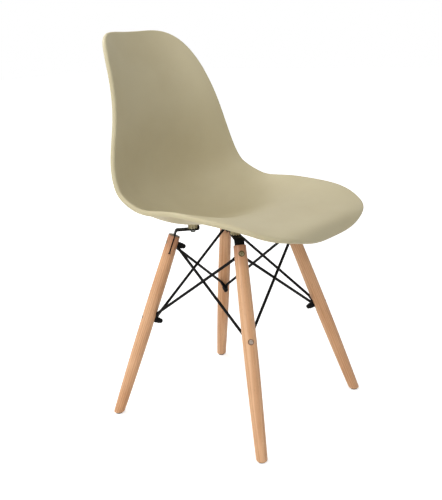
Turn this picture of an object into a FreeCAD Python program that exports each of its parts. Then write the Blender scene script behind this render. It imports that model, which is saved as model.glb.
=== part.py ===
import FreeCAD, Part
import Sketcher
import math
import os
import re

# Side chair: a moulded plastic shell on four splayed beech legs with crossed wire braces.
# Millimetres, +Z up.  The origin is on the floor, under the middle of the chair, front to back.
# The front of the chair looks along -Y.  Left is -X, as seen from in front of the chair.

V = FreeCAD.Vector
doc = FreeCAD.newDocument("shell_chair")
sheet = doc.addObject("Spreadsheet::Sheet", "sizes")
names = []


def cell(name, value, note=""):
    """Put one size on the next row of the sheet and return it as a number."""
    names.append(name)
    row = len(names)
    sheet.set("A%d" % row, name)
    sheet.set("B%d" % row, repr(round(float(value), 6)))
    sheet.set("C%d" % row, note)
    sheet.setAlias("B%d" % row, name)
    return float(value)


# Legs: where their axes start and end, and the turned shape.
leg_length = cell("leg_length", 423.7, "along the leg axis, down to the floor")
top_half_x = cell("top_half_x", 91.3, "leg top, sideways from the middle of the base")
top_half_y = cell("top_half_y", 84.3, "leg top, front to back from the middle of the base")
foot_half_x = cell("foot_half_x", 190.9, "foot, sideways from the middle of the base")
foot_half_y = cell("foot_half_y", 191.7, "foot, front to back from the middle of the base")
base_forward = cell("base_forward", 7.0, "middle of the base in front of the middle of the chair")
leg_top_diameter = cell("leg_top_diameter", 25.0)
leg_belly_diameter = cell("leg_belly_diameter", 28.5, "half way down")
leg_foot_diameter = cell("leg_foot_diameter", 22.5)
leg_top_bevel = cell("leg_top_bevel", 0.8)
foot_bevel = cell("foot_bevel", 2.0)

# Slot in the leg top that takes the bracket.
slot_depth = cell("slot_depth", 38.0, "from the leg top to the middle of the end hole")
slot_end_diameter = cell("slot_end_diameter", 5.0)
slot_clearance = cell("slot_clearance", 0.2, "slot wider than the strip, in all")

# Bent strip bracket.
strip_thickness = cell("strip_thickness", 3.0)
strip_width = cell("strip_width", 20.0)
strip_tail = cell("strip_tail", 36.5, "how far it goes down into the leg")
arm_rise = cell("arm_rise", 12.6, "top face of the arm above the leg top")
arm_length = cell("arm_length", 48.6, "from the bend to the lifted end")
arm_screw_reach = cell("arm_screw_reach", 35.0, "from the bend to the shell screw")
arm_lip = cell("arm_lip", 4.5, "how far the end stands up beside the boss")
bend_radius = cell("bend_radius", 3.0, "inside of the bend over the leg")
lip_bend_radius = cell("lip_bend_radius", 1.5, "inside of the bend at the lifted end")

# Leg bolts, nuts and the seats cut for them.
bolt_diameter = cell("bolt_diameter", 6.0)
bolt_hole_gap = cell("bolt_hole_gap", 0.3, "holes wider than the bolt")
upper_bolt_down = cell("upper_bolt_down", 17.7, "from the leg top, along the axis")
lower_bolt_down = cell("lower_bolt_down", 191.4, "from the leg top, along the axis")
bolt_head_diameter = cell("bolt_head_diameter", 12.0)
bolt_head_thickness = cell("bolt_head_thickness", 3.0)
bolt_head_bevel = cell("bolt_head_bevel", 0.6)
bolt_head_sink = cell("bolt_head_sink", 3.4, "depth of the recess, at the middle of the leg")
head_recess_gap = cell("head_recess_gap", 0.4, "recess wider than the head")
head_key_width = cell("head_key_width", 4.0, "hexagon key, across flats")
head_key_depth = cell("head_key_depth", 2.0)
seat_flat_depth = cell("seat_flat_depth", 0.8, "flat cut on the inner side of the leg")
seat_flat_diameter = cell("seat_flat_diameter", 33.0, "room for the pressed end of a brace")
nut_width = cell("nut_width", 11.0, "across flats")
nut_hexagon_height = cell("nut_hexagon_height", 5.5)
nut_dome_diameter = cell("nut_dome_diameter", 10.4)
nut_height = cell("nut_height", 12.0)
nut_dome_radius = cell("nut_dome_radius", 4.6)
nut_bore_depth = cell("nut_bore_depth", 8.0)
bolt_tip_gap = cell("bolt_tip_gap", 0.5, "bolt end short of the bottom of the nut's bore")
thread_gap = cell("thread_gap", 0.1, "bores wider than the thread in them")

# Wire braces.
wire_diameter = cell("wire_diameter", 6.0)
eye_diameter = cell("eye_diameter", 13.0)
eye_thickness = cell("eye_thickness", 3.0)
stack_gap = cell("stack_gap", 0.05, "between faces in the stack on a bolt")
tongue_width = cell("tongue_width", 6.2, "flattened end between eye and wire")
tongue_overlap = cell("tongue_overlap", 1.5, "how far the tongue runs into the wire")
near_bend = cell("near_bend", 21.0, "bolt to bend, on braces next to the legs")
near_setback = cell("near_setback", 10.8, "edge of the eye to the round wire, next to the legs")
far_bend = cell("far_bend", 10.8, "bolt to bend, on braces next to the nuts")
far_setback = cell("far_setback", 0.8, "edge of the eye to the round wire, next to the nuts")
wire_bend_radius = cell("wire_bend_radius", 7.0, "middle line of the bend at the eye")

# Glides.
glide_diameter = cell("glide_diameter", 16.0)
glide_thickness = cell("glide_thickness", 3.0)
glide_bevel = cell("glide_bevel", 0.8)
nail_diameter = cell("nail_diameter", 2.0)
nail_hole_gap = cell("nail_hole_gap", 0.1)
nail_head_diameter = cell("nail_head_diameter", 5.0)
nail_head_thickness = cell("nail_head_thickness", 1.0)
nail_head_recess = cell("nail_head_recess", 0.5, "head up from the floor")
nail_depth = cell("nail_depth", 13.0, "length of nail in the leg")

# Shell screws, washers and inserts.
screw_diameter = cell("screw_diameter", 6.0)
screw_head_diameter = cell("screw_head_diameter", 10.5)
screw_head_height = cell("screw_head_height", 3.6)
screw_head_bevel = cell("screw_head_bevel", 0.5)
screw_grip = cell("screw_grip", 7.5, "length of the screw in the insert")
screw_hole_gap = cell("screw_hole_gap", 0.6, "holes wider than the screw")
washer_diameter = cell("washer_diameter", 13.0)
washer_thickness = cell("washer_thickness", 1.2)
insert_diameter = cell("insert_diameter", 9.0)
insert_length = cell("insert_length", 8.0)
insert_pocket_gap = cell("insert_pocket_gap", 0.1, "pocket wider and deeper than the insert")

# Shell: wall, rim and mounting bosses.
shell_wall = cell("shell_wall", 5.5)
rim_thickness = cell("rim_thickness", 10.1)
rim_bulge = cell("rim_bulge", 4.5, "how far the round rim stands out past the wall")
pan_over_arm = cell("pan_over_arm", 12.0, "lowest place of the pan above the bracket arms")
boss_core_diameter = cell("boss_core_diameter", 14.0)
boss_rib_diameter = cell("boss_rib_diameter", 20.0)
boss_rib_thickness = cell("boss_rib_thickness", 1.6)
boss_rib_count = cell("boss_rib_count", 10)

# Shell: the middle line runs from the front lip over the pan and up the back, through these
# stations.  Each y is from the middle of the chair, and each rise is above the pan.
lip_y = cell("lip_y", -252.5)
brow_y = cell("brow_y", -249.0)
front_y = cell("front_y", -202.0)
thigh_y = cell("thigh_y", -102.5)
slope_y = cell("slope_y", -43.5)
pan_y = cell("pan_y", 50.5)
heel_y = cell("heel_y", 105.5)
hip_y = cell("hip_y", 150.0)
waist_y = cell("waist_y", 177.5)
blade_y = cell("blade_y", 183.0)
crown_y = cell("crown_y", 246.5)
lip_rise = cell("lip_rise", -3.5)
brow_rise = cell("brow_rise", 15.0)
front_rise = cell("front_rise", 26.5)
thigh_rise = cell("thigh_rise", 30.5)
slope_rise = cell("slope_rise", 16.0)
heel_rise = cell("heel_rise", 13.5)
hip_rise = cell("hip_rise", 46.5)
waist_rise = cell("waist_rise", 134.0)
blade_rise = cell("blade_rise", 224.5)
crown_rise = cell("crown_rise", 389.5)
station_y = (lip_y, brow_y, front_y, thigh_y, slope_y, pan_y, heel_y, hip_y, waist_y, blade_y, crown_y)
station_rise = (lip_rise, brow_rise, front_rise, thigh_rise, slope_rise, 0.0,
                heel_rise, hip_rise, waist_rise, blade_rise, crown_rise)

# Half width of the shell at each station, before its ends are rounded off.
station_half = (
    cell("lip_half", 197.0),
    cell("brow_half", 224.5),
    cell("front_half", 242.0),
    cell("thigh_half", 225.5),
    cell("slope_half", 213.5),
    cell("pan_half", 213.0),
    cell("heel_half", 212.0),
    cell("hip_half", 208.5),
    cell("waist_half", 196.0),
    cell("blade_half", 170.0),
    cell("crown_half", 143.5),
)
# How far the sides stand up from the middle line at each station: the dish of the shell.
station_dish = (
    cell("lip_dish", 30.5),
    cell("brow_dish", 10.0),
    cell("front_dish", 15.0),
    cell("thigh_dish", 35.0),
    cell("slope_dish", 53.0),
    cell("pan_dish", 61.5),
    cell("heel_dish", 62.5),
    cell("hip_dish", 59.5),
    cell("waist_dish", 51.0),
    cell("blade_dish", 45.5),
    cell("crown_dish", 43.0),
)
# How far the edge turns down again at each station: the rolled sides of the front.
station_roll = (
    cell("lip_roll", 11.0),
    cell("brow_roll", 12.5),
    cell("front_roll", 14.5),
    cell("thigh_roll", 9.5),
    cell("slope_roll", 5.5),
    cell("pan_roll", 3.0),
    cell("heel_roll", 2.0),
    cell("hip_roll", 1.5),
    cell("waist_roll", 4.0),
    cell("blade_roll", 5.5),
    cell("crown_roll", 2.0),
)

# Characters of the shell's curves, which are not lengths.
DISH_POWER = 2.32           # 2 is a round dish, more is a flatter floor with steeper sides
ROLL_START = 0.78           # share of the half width where the edge begins to turn down
RIM_BLEND = 0.14            # share of the way in over which the wall thickens to the rim
FRONT_SQUARENESS = 3.2      # 2 is a round end, more has squarer corners
CROWN_SQUARENESS = 4.45

# The turned leg swells and narrows in this many slight tapers.
LEG_TAPERS = 6

# How finely the shell's surfaces are drawn, and how far they run past the outline.
ACROSS_STEPS = 24
ALONG_STEPS = 40
OUTLINE_STEPS = 72
RIM_STEPS = 8
RIM_LENGTHS = 8
OVERRUN_ACROSS = 1.08
OVERRUN_ALONG = 0.03
NORMAL_STEP = 0.002         # share stepped each way to find how a surface leans
SEW_GAP = 0.01

# Values worked out from the sizes above.
plan_run_x = foot_half_x - top_half_x
plan_run_y = foot_half_y - top_half_y
plan_run = math.hypot(plan_run_x, plan_run_y)
leg_top_height = math.sqrt(leg_length ** 2 - plan_run ** 2)
splay = math.atan2(plan_run, leg_top_height)
arm_top_height = leg_top_height + arm_rise
screw_run = arm_screw_reach + arm_rise * math.tan(splay)
pan_height = arm_top_height + pan_over_arm


def leg_radius(down):
    """Radius of the turned leg at a distance down its axis: one curve through top, belly and foot."""
    share = down / leg_length
    from_top = leg_top_diameter / 2 * (1 - share) * (1 - 2 * share)
    from_belly = leg_belly_diameter / 2 * 4 * share * (1 - share)
    from_foot = leg_foot_diameter / 2 * share * (2 * share - 1)
    return from_top + from_belly + from_foot


splay_angle = cell("splay_angle", math.degrees(splay), "worked out: leg to the vertical")
upper_radius = cell("upper_radius", leg_radius(upper_bolt_down), "worked out: leg at the upper bolt")
lower_radius = cell("lower_radius", leg_radius(lower_bolt_down), "worked out: leg at the lower bolt")
doc.recompute()

# Corners of the base in order round the chair, with the signs of x and y.
CORNERS = (("front_left", -1, -1), ("front_right", 1, -1), ("rear_right", 1, 1), ("rear_left", -1, 1))

# Where the eyes lie on a bolt: next to the leg, or next to the nut.
NEAR, FAR = 0, 1


def bound(text):
    """Write the names of sizes in an expression as cells of the sheet."""
    return re.sub(r"[a-z_]+", lambda word: "sizes." + word[0] if word[0] in names else word[0], text)


def number(text):
    """Value of an expression over the sizes."""
    return float(sheet.evalExpression(bound(text)))


def new_body(label):
    """Empty body with its own label."""
    body = doc.addObject("PartDesign::Body", label)
    body.Label = label
    return body


def new_sketch(body, plane, label, offset=None, base=None, tilt=None):
    """Sketch on one of the body's origin planes, which may be shifted along its normal or tilted."""
    sketch = body.newObject("Sketcher::SketchObject", label)
    support = [item for item in body.Origin.OriginFeatures if item.Role == plane][0]
    sketch.AttachmentSupport = [(support, "")]
    sketch.MapMode = "FlatFace"
    if offset:
        sketch.setExpression("AttachmentOffset.Base.z", bound(offset))
    if tilt:
        sketch.AttachmentOffset = FreeCAD.Placement(V(), FreeCAD.Rotation(V(0, 1, 0), 1))
        sketch.setExpression("AttachmentOffset.Rotation.Angle", bound(tilt))
        sketch.setExpression("AttachmentOffset.Base.x", bound(base[0]))
        sketch.setExpression("AttachmentOffset.Base.z", bound(base[1]))
    return sketch


def pin(sketch, line, end, place):
    """Hold one end of a line at a place given by two expressions."""
    for kind, axis, text in (("DistanceX", -2, place[0]), ("DistanceY", -1, place[1])):
        if text == "0":
            sketch.addConstraint(Sketcher.Constraint("PointOnObject", line, end, axis))
        else:
            index = sketch.addConstraint(Sketcher.Constraint(kind, -1, 1, line, end, number(text)))
            sketch.setExpression("Constraints[%d]" % index, bound(text))


def draw_outline(sketch, corners):
    """Closed outline of straight lines with every corner held by the sizes."""
    places = [V(number(x), number(y), 0) for x, y in corners]
    count = len(places)
    for i in range(count):
        sketch.addGeometry(Part.LineSegment(places[i], places[(i + 1) % count]))
    for i in range(count):
        sketch.addConstraint(Sketcher.Constraint("Coincident", i, 2, (i + 1) % count, 1))
    for i in range(count):
        pin(sketch, i, 1, corners[i])
    return sketch


def draw_circle(sketch, centre, diameter):
    """Circle whose middle and width are held by the sizes."""
    middle = V(number(centre[0]), number(centre[1]), 0)
    line = sketch.addGeometry(Part.Circle(middle, V(0, 0, 1), number(diameter) / 2))
    if centre == ("0", "0"):
        sketch.addConstraint(Sketcher.Constraint("Coincident", line, 3, -1, 1))
    else:
        pin(sketch, line, 3, centre)
    index = sketch.addConstraint(Sketcher.Constraint("Diameter", line, number(diameter)))
    sketch.setExpression("Constraints[%d]" % index, bound(diameter))
    return sketch


def draw_hexagon(sketch, width):
    """Hexagon round the sketch's origin, of a width across flats."""
    corners = []
    for i in range(6):
        reach = "%s / 2 / cos(30)" % width
        corners.append(("%s * cos(%d)" % (reach, 60 * i + 30), "%s * sin(%d)" % (reach, 60 * i + 30)))
    return draw_outline(sketch, corners)


def turn_solid(body, sketch, label):
    """Turned shape: the sketch goes once round its upright axis."""
    turned = body.newObject("PartDesign::Revolution", label)
    turned.Profile = sketch
    turned.ReferenceAxis = (sketch, ["V_Axis"])
    turned.Angle = 360
    doc.recompute()
    return turned


def extrude(body, kind, sketch, length, label, both_ways=False, reverse=False):
    """Pad or pocket of a bound length, whose effect on the volume is checked."""
    before = body.Shape.Volume if body.Tip else 0.0
    feature = body.newObject(kind, label)
    feature.Profile = sketch
    feature.setExpression("Length", bound(length))
    feature.Reversed = reverse
    if both_ways:
        feature.SideType = "Symmetric"
    doc.recompute()
    change = body.Shape.Volume - before
    if change * (1 if kind.endswith("Pad") else -1) <= 0:
        raise ValueError("%s %s does nothing" % (body.Label, label))
    return feature


def pad(body, sketch, length, label, **how):
    """Add material over a sketch."""
    return extrude(body, "PartDesign::Pad", sketch, length, label, **how)


def pocket(body, sketch, length, label, **how):
    """Cut material away over a sketch."""
    return extrude(body, "PartDesign::Pocket", sketch, length, label, **how)


def dress(body, kind, chosen, size, label):
    """Fillet or chamfer of a bound size on the chosen edges of the body."""
    base = body.Tip
    edges = ["Edge%d" % (i + 1) for i, edge in enumerate(base.Shape.Edges) if chosen(edge)]
    feature = body.newObject(kind, label)
    feature.Base = (base, edges)
    feature.setExpression("Radius" if kind.endswith("Fillet") else "Size", bound(size))
    doc.recompute()
    return feature


def corner_frame(sign_x, sign_y):
    """Frame of a leg: origin at the middle of its top, z up its axis, x away from the chair."""
    heading = math.degrees(math.atan2(sign_y * plan_run_y, sign_x * plan_run_x))
    turn = FreeCAD.Rotation(V(0, 0, 1), heading)
    lean = FreeCAD.Rotation(V(0, 1, 0), -math.degrees(splay))
    top = V(sign_x * top_half_x, sign_y * top_half_y - base_forward, leg_top_height)
    return FreeCAD.Placement(top, turn * lean)


def upright_frame(sign_x, sign_y, run, height):
    """Frame with z up, a run inward from the leg top along the leg's own plane."""
    heading = math.atan2(sign_y * plan_run_y, sign_x * plan_run_x)
    x = sign_x * top_half_x - run * math.cos(heading)
    y = sign_y * top_half_y - base_forward - run * math.sin(heading)
    return FreeCAD.Placement(V(x, y, height), FreeCAD.Rotation(V(0, 0, 1), math.degrees(heading)))


def in_leg_plane(outward, up):
    """Place given level and upright from the leg top, as expressions in the leaning leg frame."""
    return ("(%s) * cos(splay_angle) + (%s) * sin(splay_angle)" % (outward, up),
            "(%s) * cos(splay_angle) - (%s) * sin(splay_angle)" % (up, outward))


# Legs.
def make_leg(label):
    """Turned beech leg with its slot, bolt holes, recesses, seats and level foot."""
    body = new_body(label)
    corners = [
        ("0", "0"),
        ("leg_top_diameter / 2 - leg_top_bevel", "0"),
        ("leg_top_diameter / 2", "-leg_top_bevel"),
    ]
    for step in range(1, LEG_TAPERS + 1):
        share = "%d / %d" % (step, LEG_TAPERS)
        radius = ("leg_top_diameter / 2 * (1 - {0}) * (1 - 2 * {0})"
                  " + leg_belly_diameter * 2 * {0} * (1 - {0})"
                  " + leg_foot_diameter / 2 * {0} * (2 * {0} - 1)").format(share)
        corners.append((radius, "-leg_length * " + share))
    corners.append(("leg_foot_diameter / 2", "-leg_length - leg_foot_diameter"))
    corners.append(("0", "-leg_length - leg_foot_diameter"))
    outline = draw_outline(new_sketch(body, "XZ_Plane", label + "_outline"), corners)
    turn_solid(body, outline, label + "_turning")

    wide = "leg_belly_diameter * 2"
    foot_line = "-(leg_length - glide_thickness / cos(splay_angle))"
    below = "-(leg_length + leg_belly_diameter)"
    level = draw_outline(new_sketch(body, "XZ_Plane", label + "_level_line"), [
        ("-leg_belly_diameter", foot_line + " + leg_belly_diameter * tan(splay_angle)"),
        ("leg_belly_diameter", foot_line + " - leg_belly_diameter * tan(splay_angle)"),
        ("leg_belly_diameter", below + " - leg_belly_diameter"),
        ("-leg_belly_diameter", below + " - leg_belly_diameter"),
    ])
    pocket(body, level, wide, label + "_level_foot", both_ways=True)
    lowest = -leg_length + leg_belly_diameter / 2
    dress(body, "PartDesign::Chamfer", lambda edge: edge.BoundBox.ZMax < lowest and len(edge.Vertexes) <= 2
          and edge.BoundBox.YLength > leg_foot_diameter / 2, "foot_bevel", label + "_foot_bevel")

    slot = draw_outline(new_sketch(body, "XZ_Plane", label + "_slot_line"), [
        ("-(strip_thickness + slot_clearance) / 2", "leg_top_bevel"),
        ("(strip_thickness + slot_clearance) / 2", "leg_top_bevel"),
        ("(strip_thickness + slot_clearance) / 2", "-slot_depth"),
        ("-(strip_thickness + slot_clearance) / 2", "-slot_depth"),
    ])
    pocket(body, slot, wide, label + "_slot", both_ways=True)
    end = draw_circle(new_sketch(body, "XZ_Plane", label + "_slot_end_line"), ("0", "-slot_depth"),
                      "slot_end_diameter")
    pocket(body, end, wide, label + "_slot_end", both_ways=True)

    holes = new_sketch(body, "YZ_Plane", label + "_hole_lines")
    draw_circle(holes, ("0", "-upper_bolt_down"), "bolt_diameter + bolt_hole_gap")
    draw_circle(holes, ("0", "-lower_bolt_down"), "bolt_diameter + bolt_hole_gap")
    pocket(body, holes, wide, label + "_bolt_holes", both_ways=True)
    for place in ("upper", "lower"):
        centre = ("0", "-%s_bolt_down" % place)
        recess = new_sketch(body, "YZ_Plane", "%s_%s_recess_line" % (label, place),
                            offset="%s_radius - bolt_head_sink" % place)
        draw_circle(recess, centre, "bolt_head_diameter + head_recess_gap")
        pocket(body, recess, "leg_belly_diameter", "%s_%s_recess" % (label, place), reverse=True)
        seat = new_sketch(body, "YZ_Plane", "%s_%s_seat_line" % (label, place),
                          offset="-(%s_radius - seat_flat_depth)" % place)
        draw_circle(seat, centre, "seat_flat_diameter")
        pocket(body, seat, "leg_belly_diameter", "%s_%s_seat" % (label, place))

    nail = new_sketch(body, "XY_Plane", label + "_nail_line", base=("0", foot_line), tilt="splay_angle")
    draw_circle(nail, ("0", "0"), "nail_diameter + nail_hole_gap")
    pocket(body, nail, "nail_depth + bolt_tip_gap", label + "_nail_hole", reverse=True)
    return body


# Brackets.
def make_bracket(label):
    """Strip that stands in the leg's slot, bends level over the leg and turns up at its end."""
    body = new_body(label)
    half = "strip_thickness / 2"
    bend_out = "-arm_rise * tan(splay_angle)"
    end_out = "(%s - arm_length)" % bend_out
    outer_top = ("strip_thickness / 2", "(arm_rise - %s * sin(splay_angle)) / cos(splay_angle)" % half)
    inner_top = ("-strip_thickness / 2",
                 "(arm_rise - strip_thickness + %s * sin(splay_angle)) / cos(splay_angle)" % half)
    corners = [
        ("strip_thickness / 2", "-strip_tail"),
        outer_top,
        in_leg_plane(end_out + " + strip_thickness", "arm_rise"),
        in_leg_plane(end_out + " + strip_thickness", "arm_rise + arm_lip"),
        in_leg_plane(end_out, "arm_rise + arm_lip"),
        in_leg_plane(end_out, "arm_rise - strip_thickness"),
        inner_top,
        ("-strip_thickness / 2", "-strip_tail"),
    ]
    outline = draw_outline(new_sketch(body, "XZ_Plane", label + "_outline"), corners)
    pad(body, outline, "strip_width", label + "_strip", both_ways=True)
    places = [V(number(x), 0, number(y)) for x, y in corners]

    def at_corner(index):
        """Test for the bend's edge, which runs along y at a corner of the outline."""
        return lambda edge: (edge.BoundBox.YLength > strip_width / 2
                             and edge.CenterOfMass.distanceToPoint(places[index]) < strip_thickness / 10)

    bends = (
        (6, "bend_radius", "inner_bend"),
        (1, "bend_radius + strip_thickness", "outer_bend"),
        (2, "lip_bend_radius", "lip_inner_bend"),
        (5, "lip_bend_radius + strip_thickness", "lip_outer_bend"),
    )
    for index, radius, name in bends:
        dress(body, "PartDesign::Fillet", at_corner(index), radius, "%s_%s" % (label, name))
    bolt = new_sketch(body, "YZ_Plane", label + "_bolt_line")
    draw_circle(bolt, ("0", "-upper_bolt_down"), "bolt_diameter + bolt_hole_gap")
    pocket(body, bolt, "strip_thickness * 2", label + "_bolt_hole", both_ways=True)
    screw_place = in_leg_plane("%s - arm_screw_reach" % bend_out, "arm_rise")
    screw = new_sketch(body, "XY_Plane", label + "_screw_line", base=screw_place, tilt="splay_angle")
    draw_circle(screw, ("0", "0"), "screw_diameter + screw_hole_gap")
    pocket(body, screw, "strip_thickness * 3", label + "_screw_hole", both_ways=True)
    return body


# Fasteners, each drawn once with z along it, and then placed at the four corners.
def make_leg_bolt(place):
    """Bolt with z from its head to its tip, and z = 0 at the underside of the head."""
    label = place + "_leg_bolt"
    body = new_body(label)
    length = ("(%s_radius - bolt_head_sink + %s_radius - seat_flat_depth"
              " + 2 * eye_thickness + 3 * stack_gap + nut_bore_depth - bolt_tip_gap)") % (place, place)
    outline = draw_outline(new_sketch(body, "XZ_Plane", label + "_outline"), [
        ("0", "-bolt_head_thickness"),
        ("bolt_head_diameter / 2 - bolt_head_bevel", "-bolt_head_thickness"),
        ("bolt_head_diameter / 2", "-bolt_head_thickness + bolt_head_bevel"),
        ("bolt_head_diameter / 2", "0"),
        ("bolt_diameter / 2", "0"),
        ("bolt_diameter / 2", length),
        ("0", length),
    ])
    turn_solid(body, outline, label + "_turning")
    key = new_sketch(body, "XY_Plane", label + "_key_line", offset="-bolt_head_thickness")
    draw_hexagon(key, "head_key_width")
    pocket(body, key, "head_key_depth", label + "_key", reverse=True)
    return body


def make_nut():
    """Domed nut with z from its seat to the top of its dome."""
    body = new_body("dome_nut")
    hexagon = draw_hexagon(new_sketch(body, "XY_Plane", "nut_hexagon"), "nut_width")
    pad(body, hexagon, "nut_hexagon_height", "nut_base")
    dome = draw_circle(new_sketch(body, "XY_Plane", "nut_dome_line"), ("0", "0"), "nut_dome_diameter")
    pad(body, dome, "nut_height", "nut_dome")
    dress(body, "PartDesign::Fillet", lambda edge: edge.BoundBox.ZMin > (nut_height + nut_hexagon_height) / 2,
          "nut_dome_radius", "nut_dome_round")
    bore = draw_circle(new_sketch(body, "XY_Plane", "nut_bore_line"), ("0", "0"),
                       "bolt_diameter + thread_gap")
    pocket(body, bore, "nut_bore_depth", "nut_bore", reverse=True)
    return body


def make_screw():
    """Screw up through a bracket arm, with z = 0 at the top face of the arm."""
    body = new_body("shell_screw")
    seat = "-(strip_thickness + washer_thickness)"
    outline = draw_outline(new_sketch(body, "XZ_Plane", "screw_outline"), [
        ("0", seat + " - screw_head_height"),
        ("screw_head_diameter / 2 - screw_head_bevel", seat + " - screw_head_height"),
        ("screw_head_diameter / 2", seat + " - screw_head_height + screw_head_bevel"),
        ("screw_head_diameter / 2", seat),
        ("screw_diameter / 2", seat),
        ("screw_diameter / 2", "screw_grip"),
        ("0", "screw_grip"),
    ])
    turn_solid(body, outline, "screw_turning")
    key = new_sketch(body, "XY_Plane", "screw_key_line", offset=seat + " - screw_head_height")
    draw_hexagon(key, "head_key_width")
    pocket(body, key, "head_key_depth", "screw_key", reverse=True)
    return body


def make_ring(label, bottom, height, outside, inside):
    """Ring from primitives: a washer or an insert."""
    parts = []
    for name, diameter in (("solid", outside), ("bore", inside)):
        cylinder = doc.addObject("Part::Cylinder", "%s_%s" % (label, name))
        cylinder.setExpression("Radius", bound("(%s) / 2" % diameter))
        cylinder.setExpression("Height", bound(height))
        cylinder.setExpression("Placement.Base.z", bound(bottom))
        parts.append(cylinder)
    ring = doc.addObject("Part::Cut", label)
    ring.Base, ring.Tool = parts
    doc.recompute()
    return ring


def make_glide():
    """Glide with z = 0 on the floor, and a hole and recess for its nail."""
    body = new_body("glide")
    outline = draw_outline(new_sketch(body, "XZ_Plane", "glide_outline"), [
        ("(nail_head_diameter + nail_hole_gap) / 2", "0"),
        ("glide_diameter / 2 - glide_bevel", "0"),
        ("glide_diameter / 2", "glide_bevel"),
        ("glide_diameter / 2", "glide_thickness"),
        ("(nail_diameter + nail_hole_gap) / 2", "glide_thickness"),
        ("(nail_diameter + nail_hole_gap) / 2", "nail_head_recess + nail_head_thickness"),
        ("(nail_head_diameter + nail_hole_gap) / 2", "nail_head_recess + nail_head_thickness"),
    ])
    turn_solid(body, outline, "glide_turning")
    return body


def make_nail():
    """Nail up through the glide into the leg, with z = 0 on the floor."""
    body = new_body("glide_nail")
    outline = draw_outline(new_sketch(body, "XZ_Plane", "nail_outline"), [
        ("0", "nail_head_recess"),
        ("nail_head_diameter / 2", "nail_head_recess"),
        ("nail_head_diameter / 2", "nail_head_recess + nail_head_thickness"),
        ("nail_diameter / 2", "nail_head_recess + nail_head_thickness"),
        ("nail_diameter / 2", "glide_thickness + nail_depth - nail_diameter"),
        ("0", "glide_thickness + nail_depth"),
    ])
    turn_solid(body, outline, "nail_turning")
    return body


def place_group(label, pattern, frames):
    """One sub-part that holds a copy of a fastener at each frame."""
    copies = []
    for frame in frames:
        copy = pattern.Shape.copy()
        copy.Placement = frame.multiply(pattern.Placement)
        copies.append(copy)
    group = doc.addObject("Part::Feature", label)
    group.Label = label
    group.Shape = Part.makeCompound(copies)
    return group


def along_bolt(frame, distance, down):
    """Frame on a bolt: z runs inward along it, from a distance out of the leg's axis."""
    local = FreeCAD.Placement(V(distance, 0, -down), FreeCAD.Rotation(V(0, 1, 0), -90))
    return frame.multiply(local)


# Braces.
def bent_path(points, radius):
    """Straight runs joined by arcs of one radius."""
    edges = []
    start = points[0]
    for before, corner, after in zip(points, points[1:], points[2:]):
        back = (before - corner).normalize()
        ahead = (after - corner).normalize()
        half_turn = (math.pi - back.getAngle(ahead)) / 2
        run = radius * math.tan(half_turn)
        inward = (back + ahead).normalize()
        middle = corner + inward * (radius / math.cos(half_turn) - radius)
        first = corner + back * run
        last = corner + ahead * run
        edges.append(Part.LineSegment(start, first).toShape())
        edges.append(Part.Arc(first, middle, last).toShape())
        start = last
    edges.append(Part.LineSegment(start, points[-1]).toShape())
    return Part.Wire(edges)


def flat_end(centre, normal, direction, reach):
    """Flattened eye and tongue of a brace, in the plane across a bolt."""
    side = normal.cross(direction)
    eye = Part.makeCylinder(eye_diameter / 2, eye_thickness, centre - normal * (eye_thickness / 2), normal)
    tongue = Part.makeBox(reach, tongue_width, eye_thickness)
    turn = FreeCAD.Rotation(direction, side, normal, "XZY")
    corner = centre - side * (tongue_width / 2) - normal * (eye_thickness / 2)
    tongue.Placement = FreeCAD.Placement(corner, turn)
    return eye, tongue


def stack_place(frame, radius, down, layer):
    """Middle of an eye in the stack on a bolt."""
    out = radius - seat_flat_depth + (layer + 1) * stack_gap + (layer + 0.5) * eye_thickness
    return frame.multVec(V(-out, 0, -down))


def make_brace(label, high_frame, low_frame, layer):
    """Wire from the upper bolt of one leg to the lower bolt of the next."""
    bend = (near_bend, far_bend)[layer]
    setback = (near_setback, far_setback)[layer]
    ends = [(stack_place(high_frame, upper_radius, upper_bolt_down, layer), high_frame),
            (stack_place(low_frame, lower_radius, lower_bolt_down, layer), low_frame)]
    points = []
    solids = []
    holes = []
    for (centre, frame), (other, _) in (ends, ends[::-1]):
        normal = frame.Rotation.multVec(V(1, 0, 0))
        towards = other - centre
        direction = (towards - normal * towards.dot(normal)).normalize()
        start = eye_diameter / 2 + setback
        solids += flat_end(centre, normal, direction, start + tongue_overlap)
        points.append((centre + direction * start, centre + direction * bend))
        bore = (bolt_diameter + bolt_hole_gap) / 2
        below = centre - normal * (eye_thickness * 1.5)
        holes.append(Part.makeCylinder(bore, eye_thickness * 3, below, normal))
    path_points = [points[0][0], points[0][1], points[1][1], points[1][0]]
    path = bent_path(path_points, wire_bend_radius)
    section = Part.Circle(path_points[0], path_points[1] - path_points[0], wire_diameter / 2)
    wire = path.makePipeShell([Part.Wire([section.toShape()])], True, False)
    brace = wire.multiFuse(solids).removeSplitter().cut(holes[0]).cut(holes[1])
    feature = doc.addObject("Part::Feature", label)
    feature.Label = label
    feature.Shape = Part.Solid(brace.Solids[0]) if len(brace.Solids) == 1 else brace
    expected = math.pi * (wire_diameter / 2) ** 2 * path.Length
    print("%s: wire %.1f mm long, volume over section times length %.4f"
          % (label, path.Length, wire.Volume / expected))
    return feature, (path_points[1], path_points[2])


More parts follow.
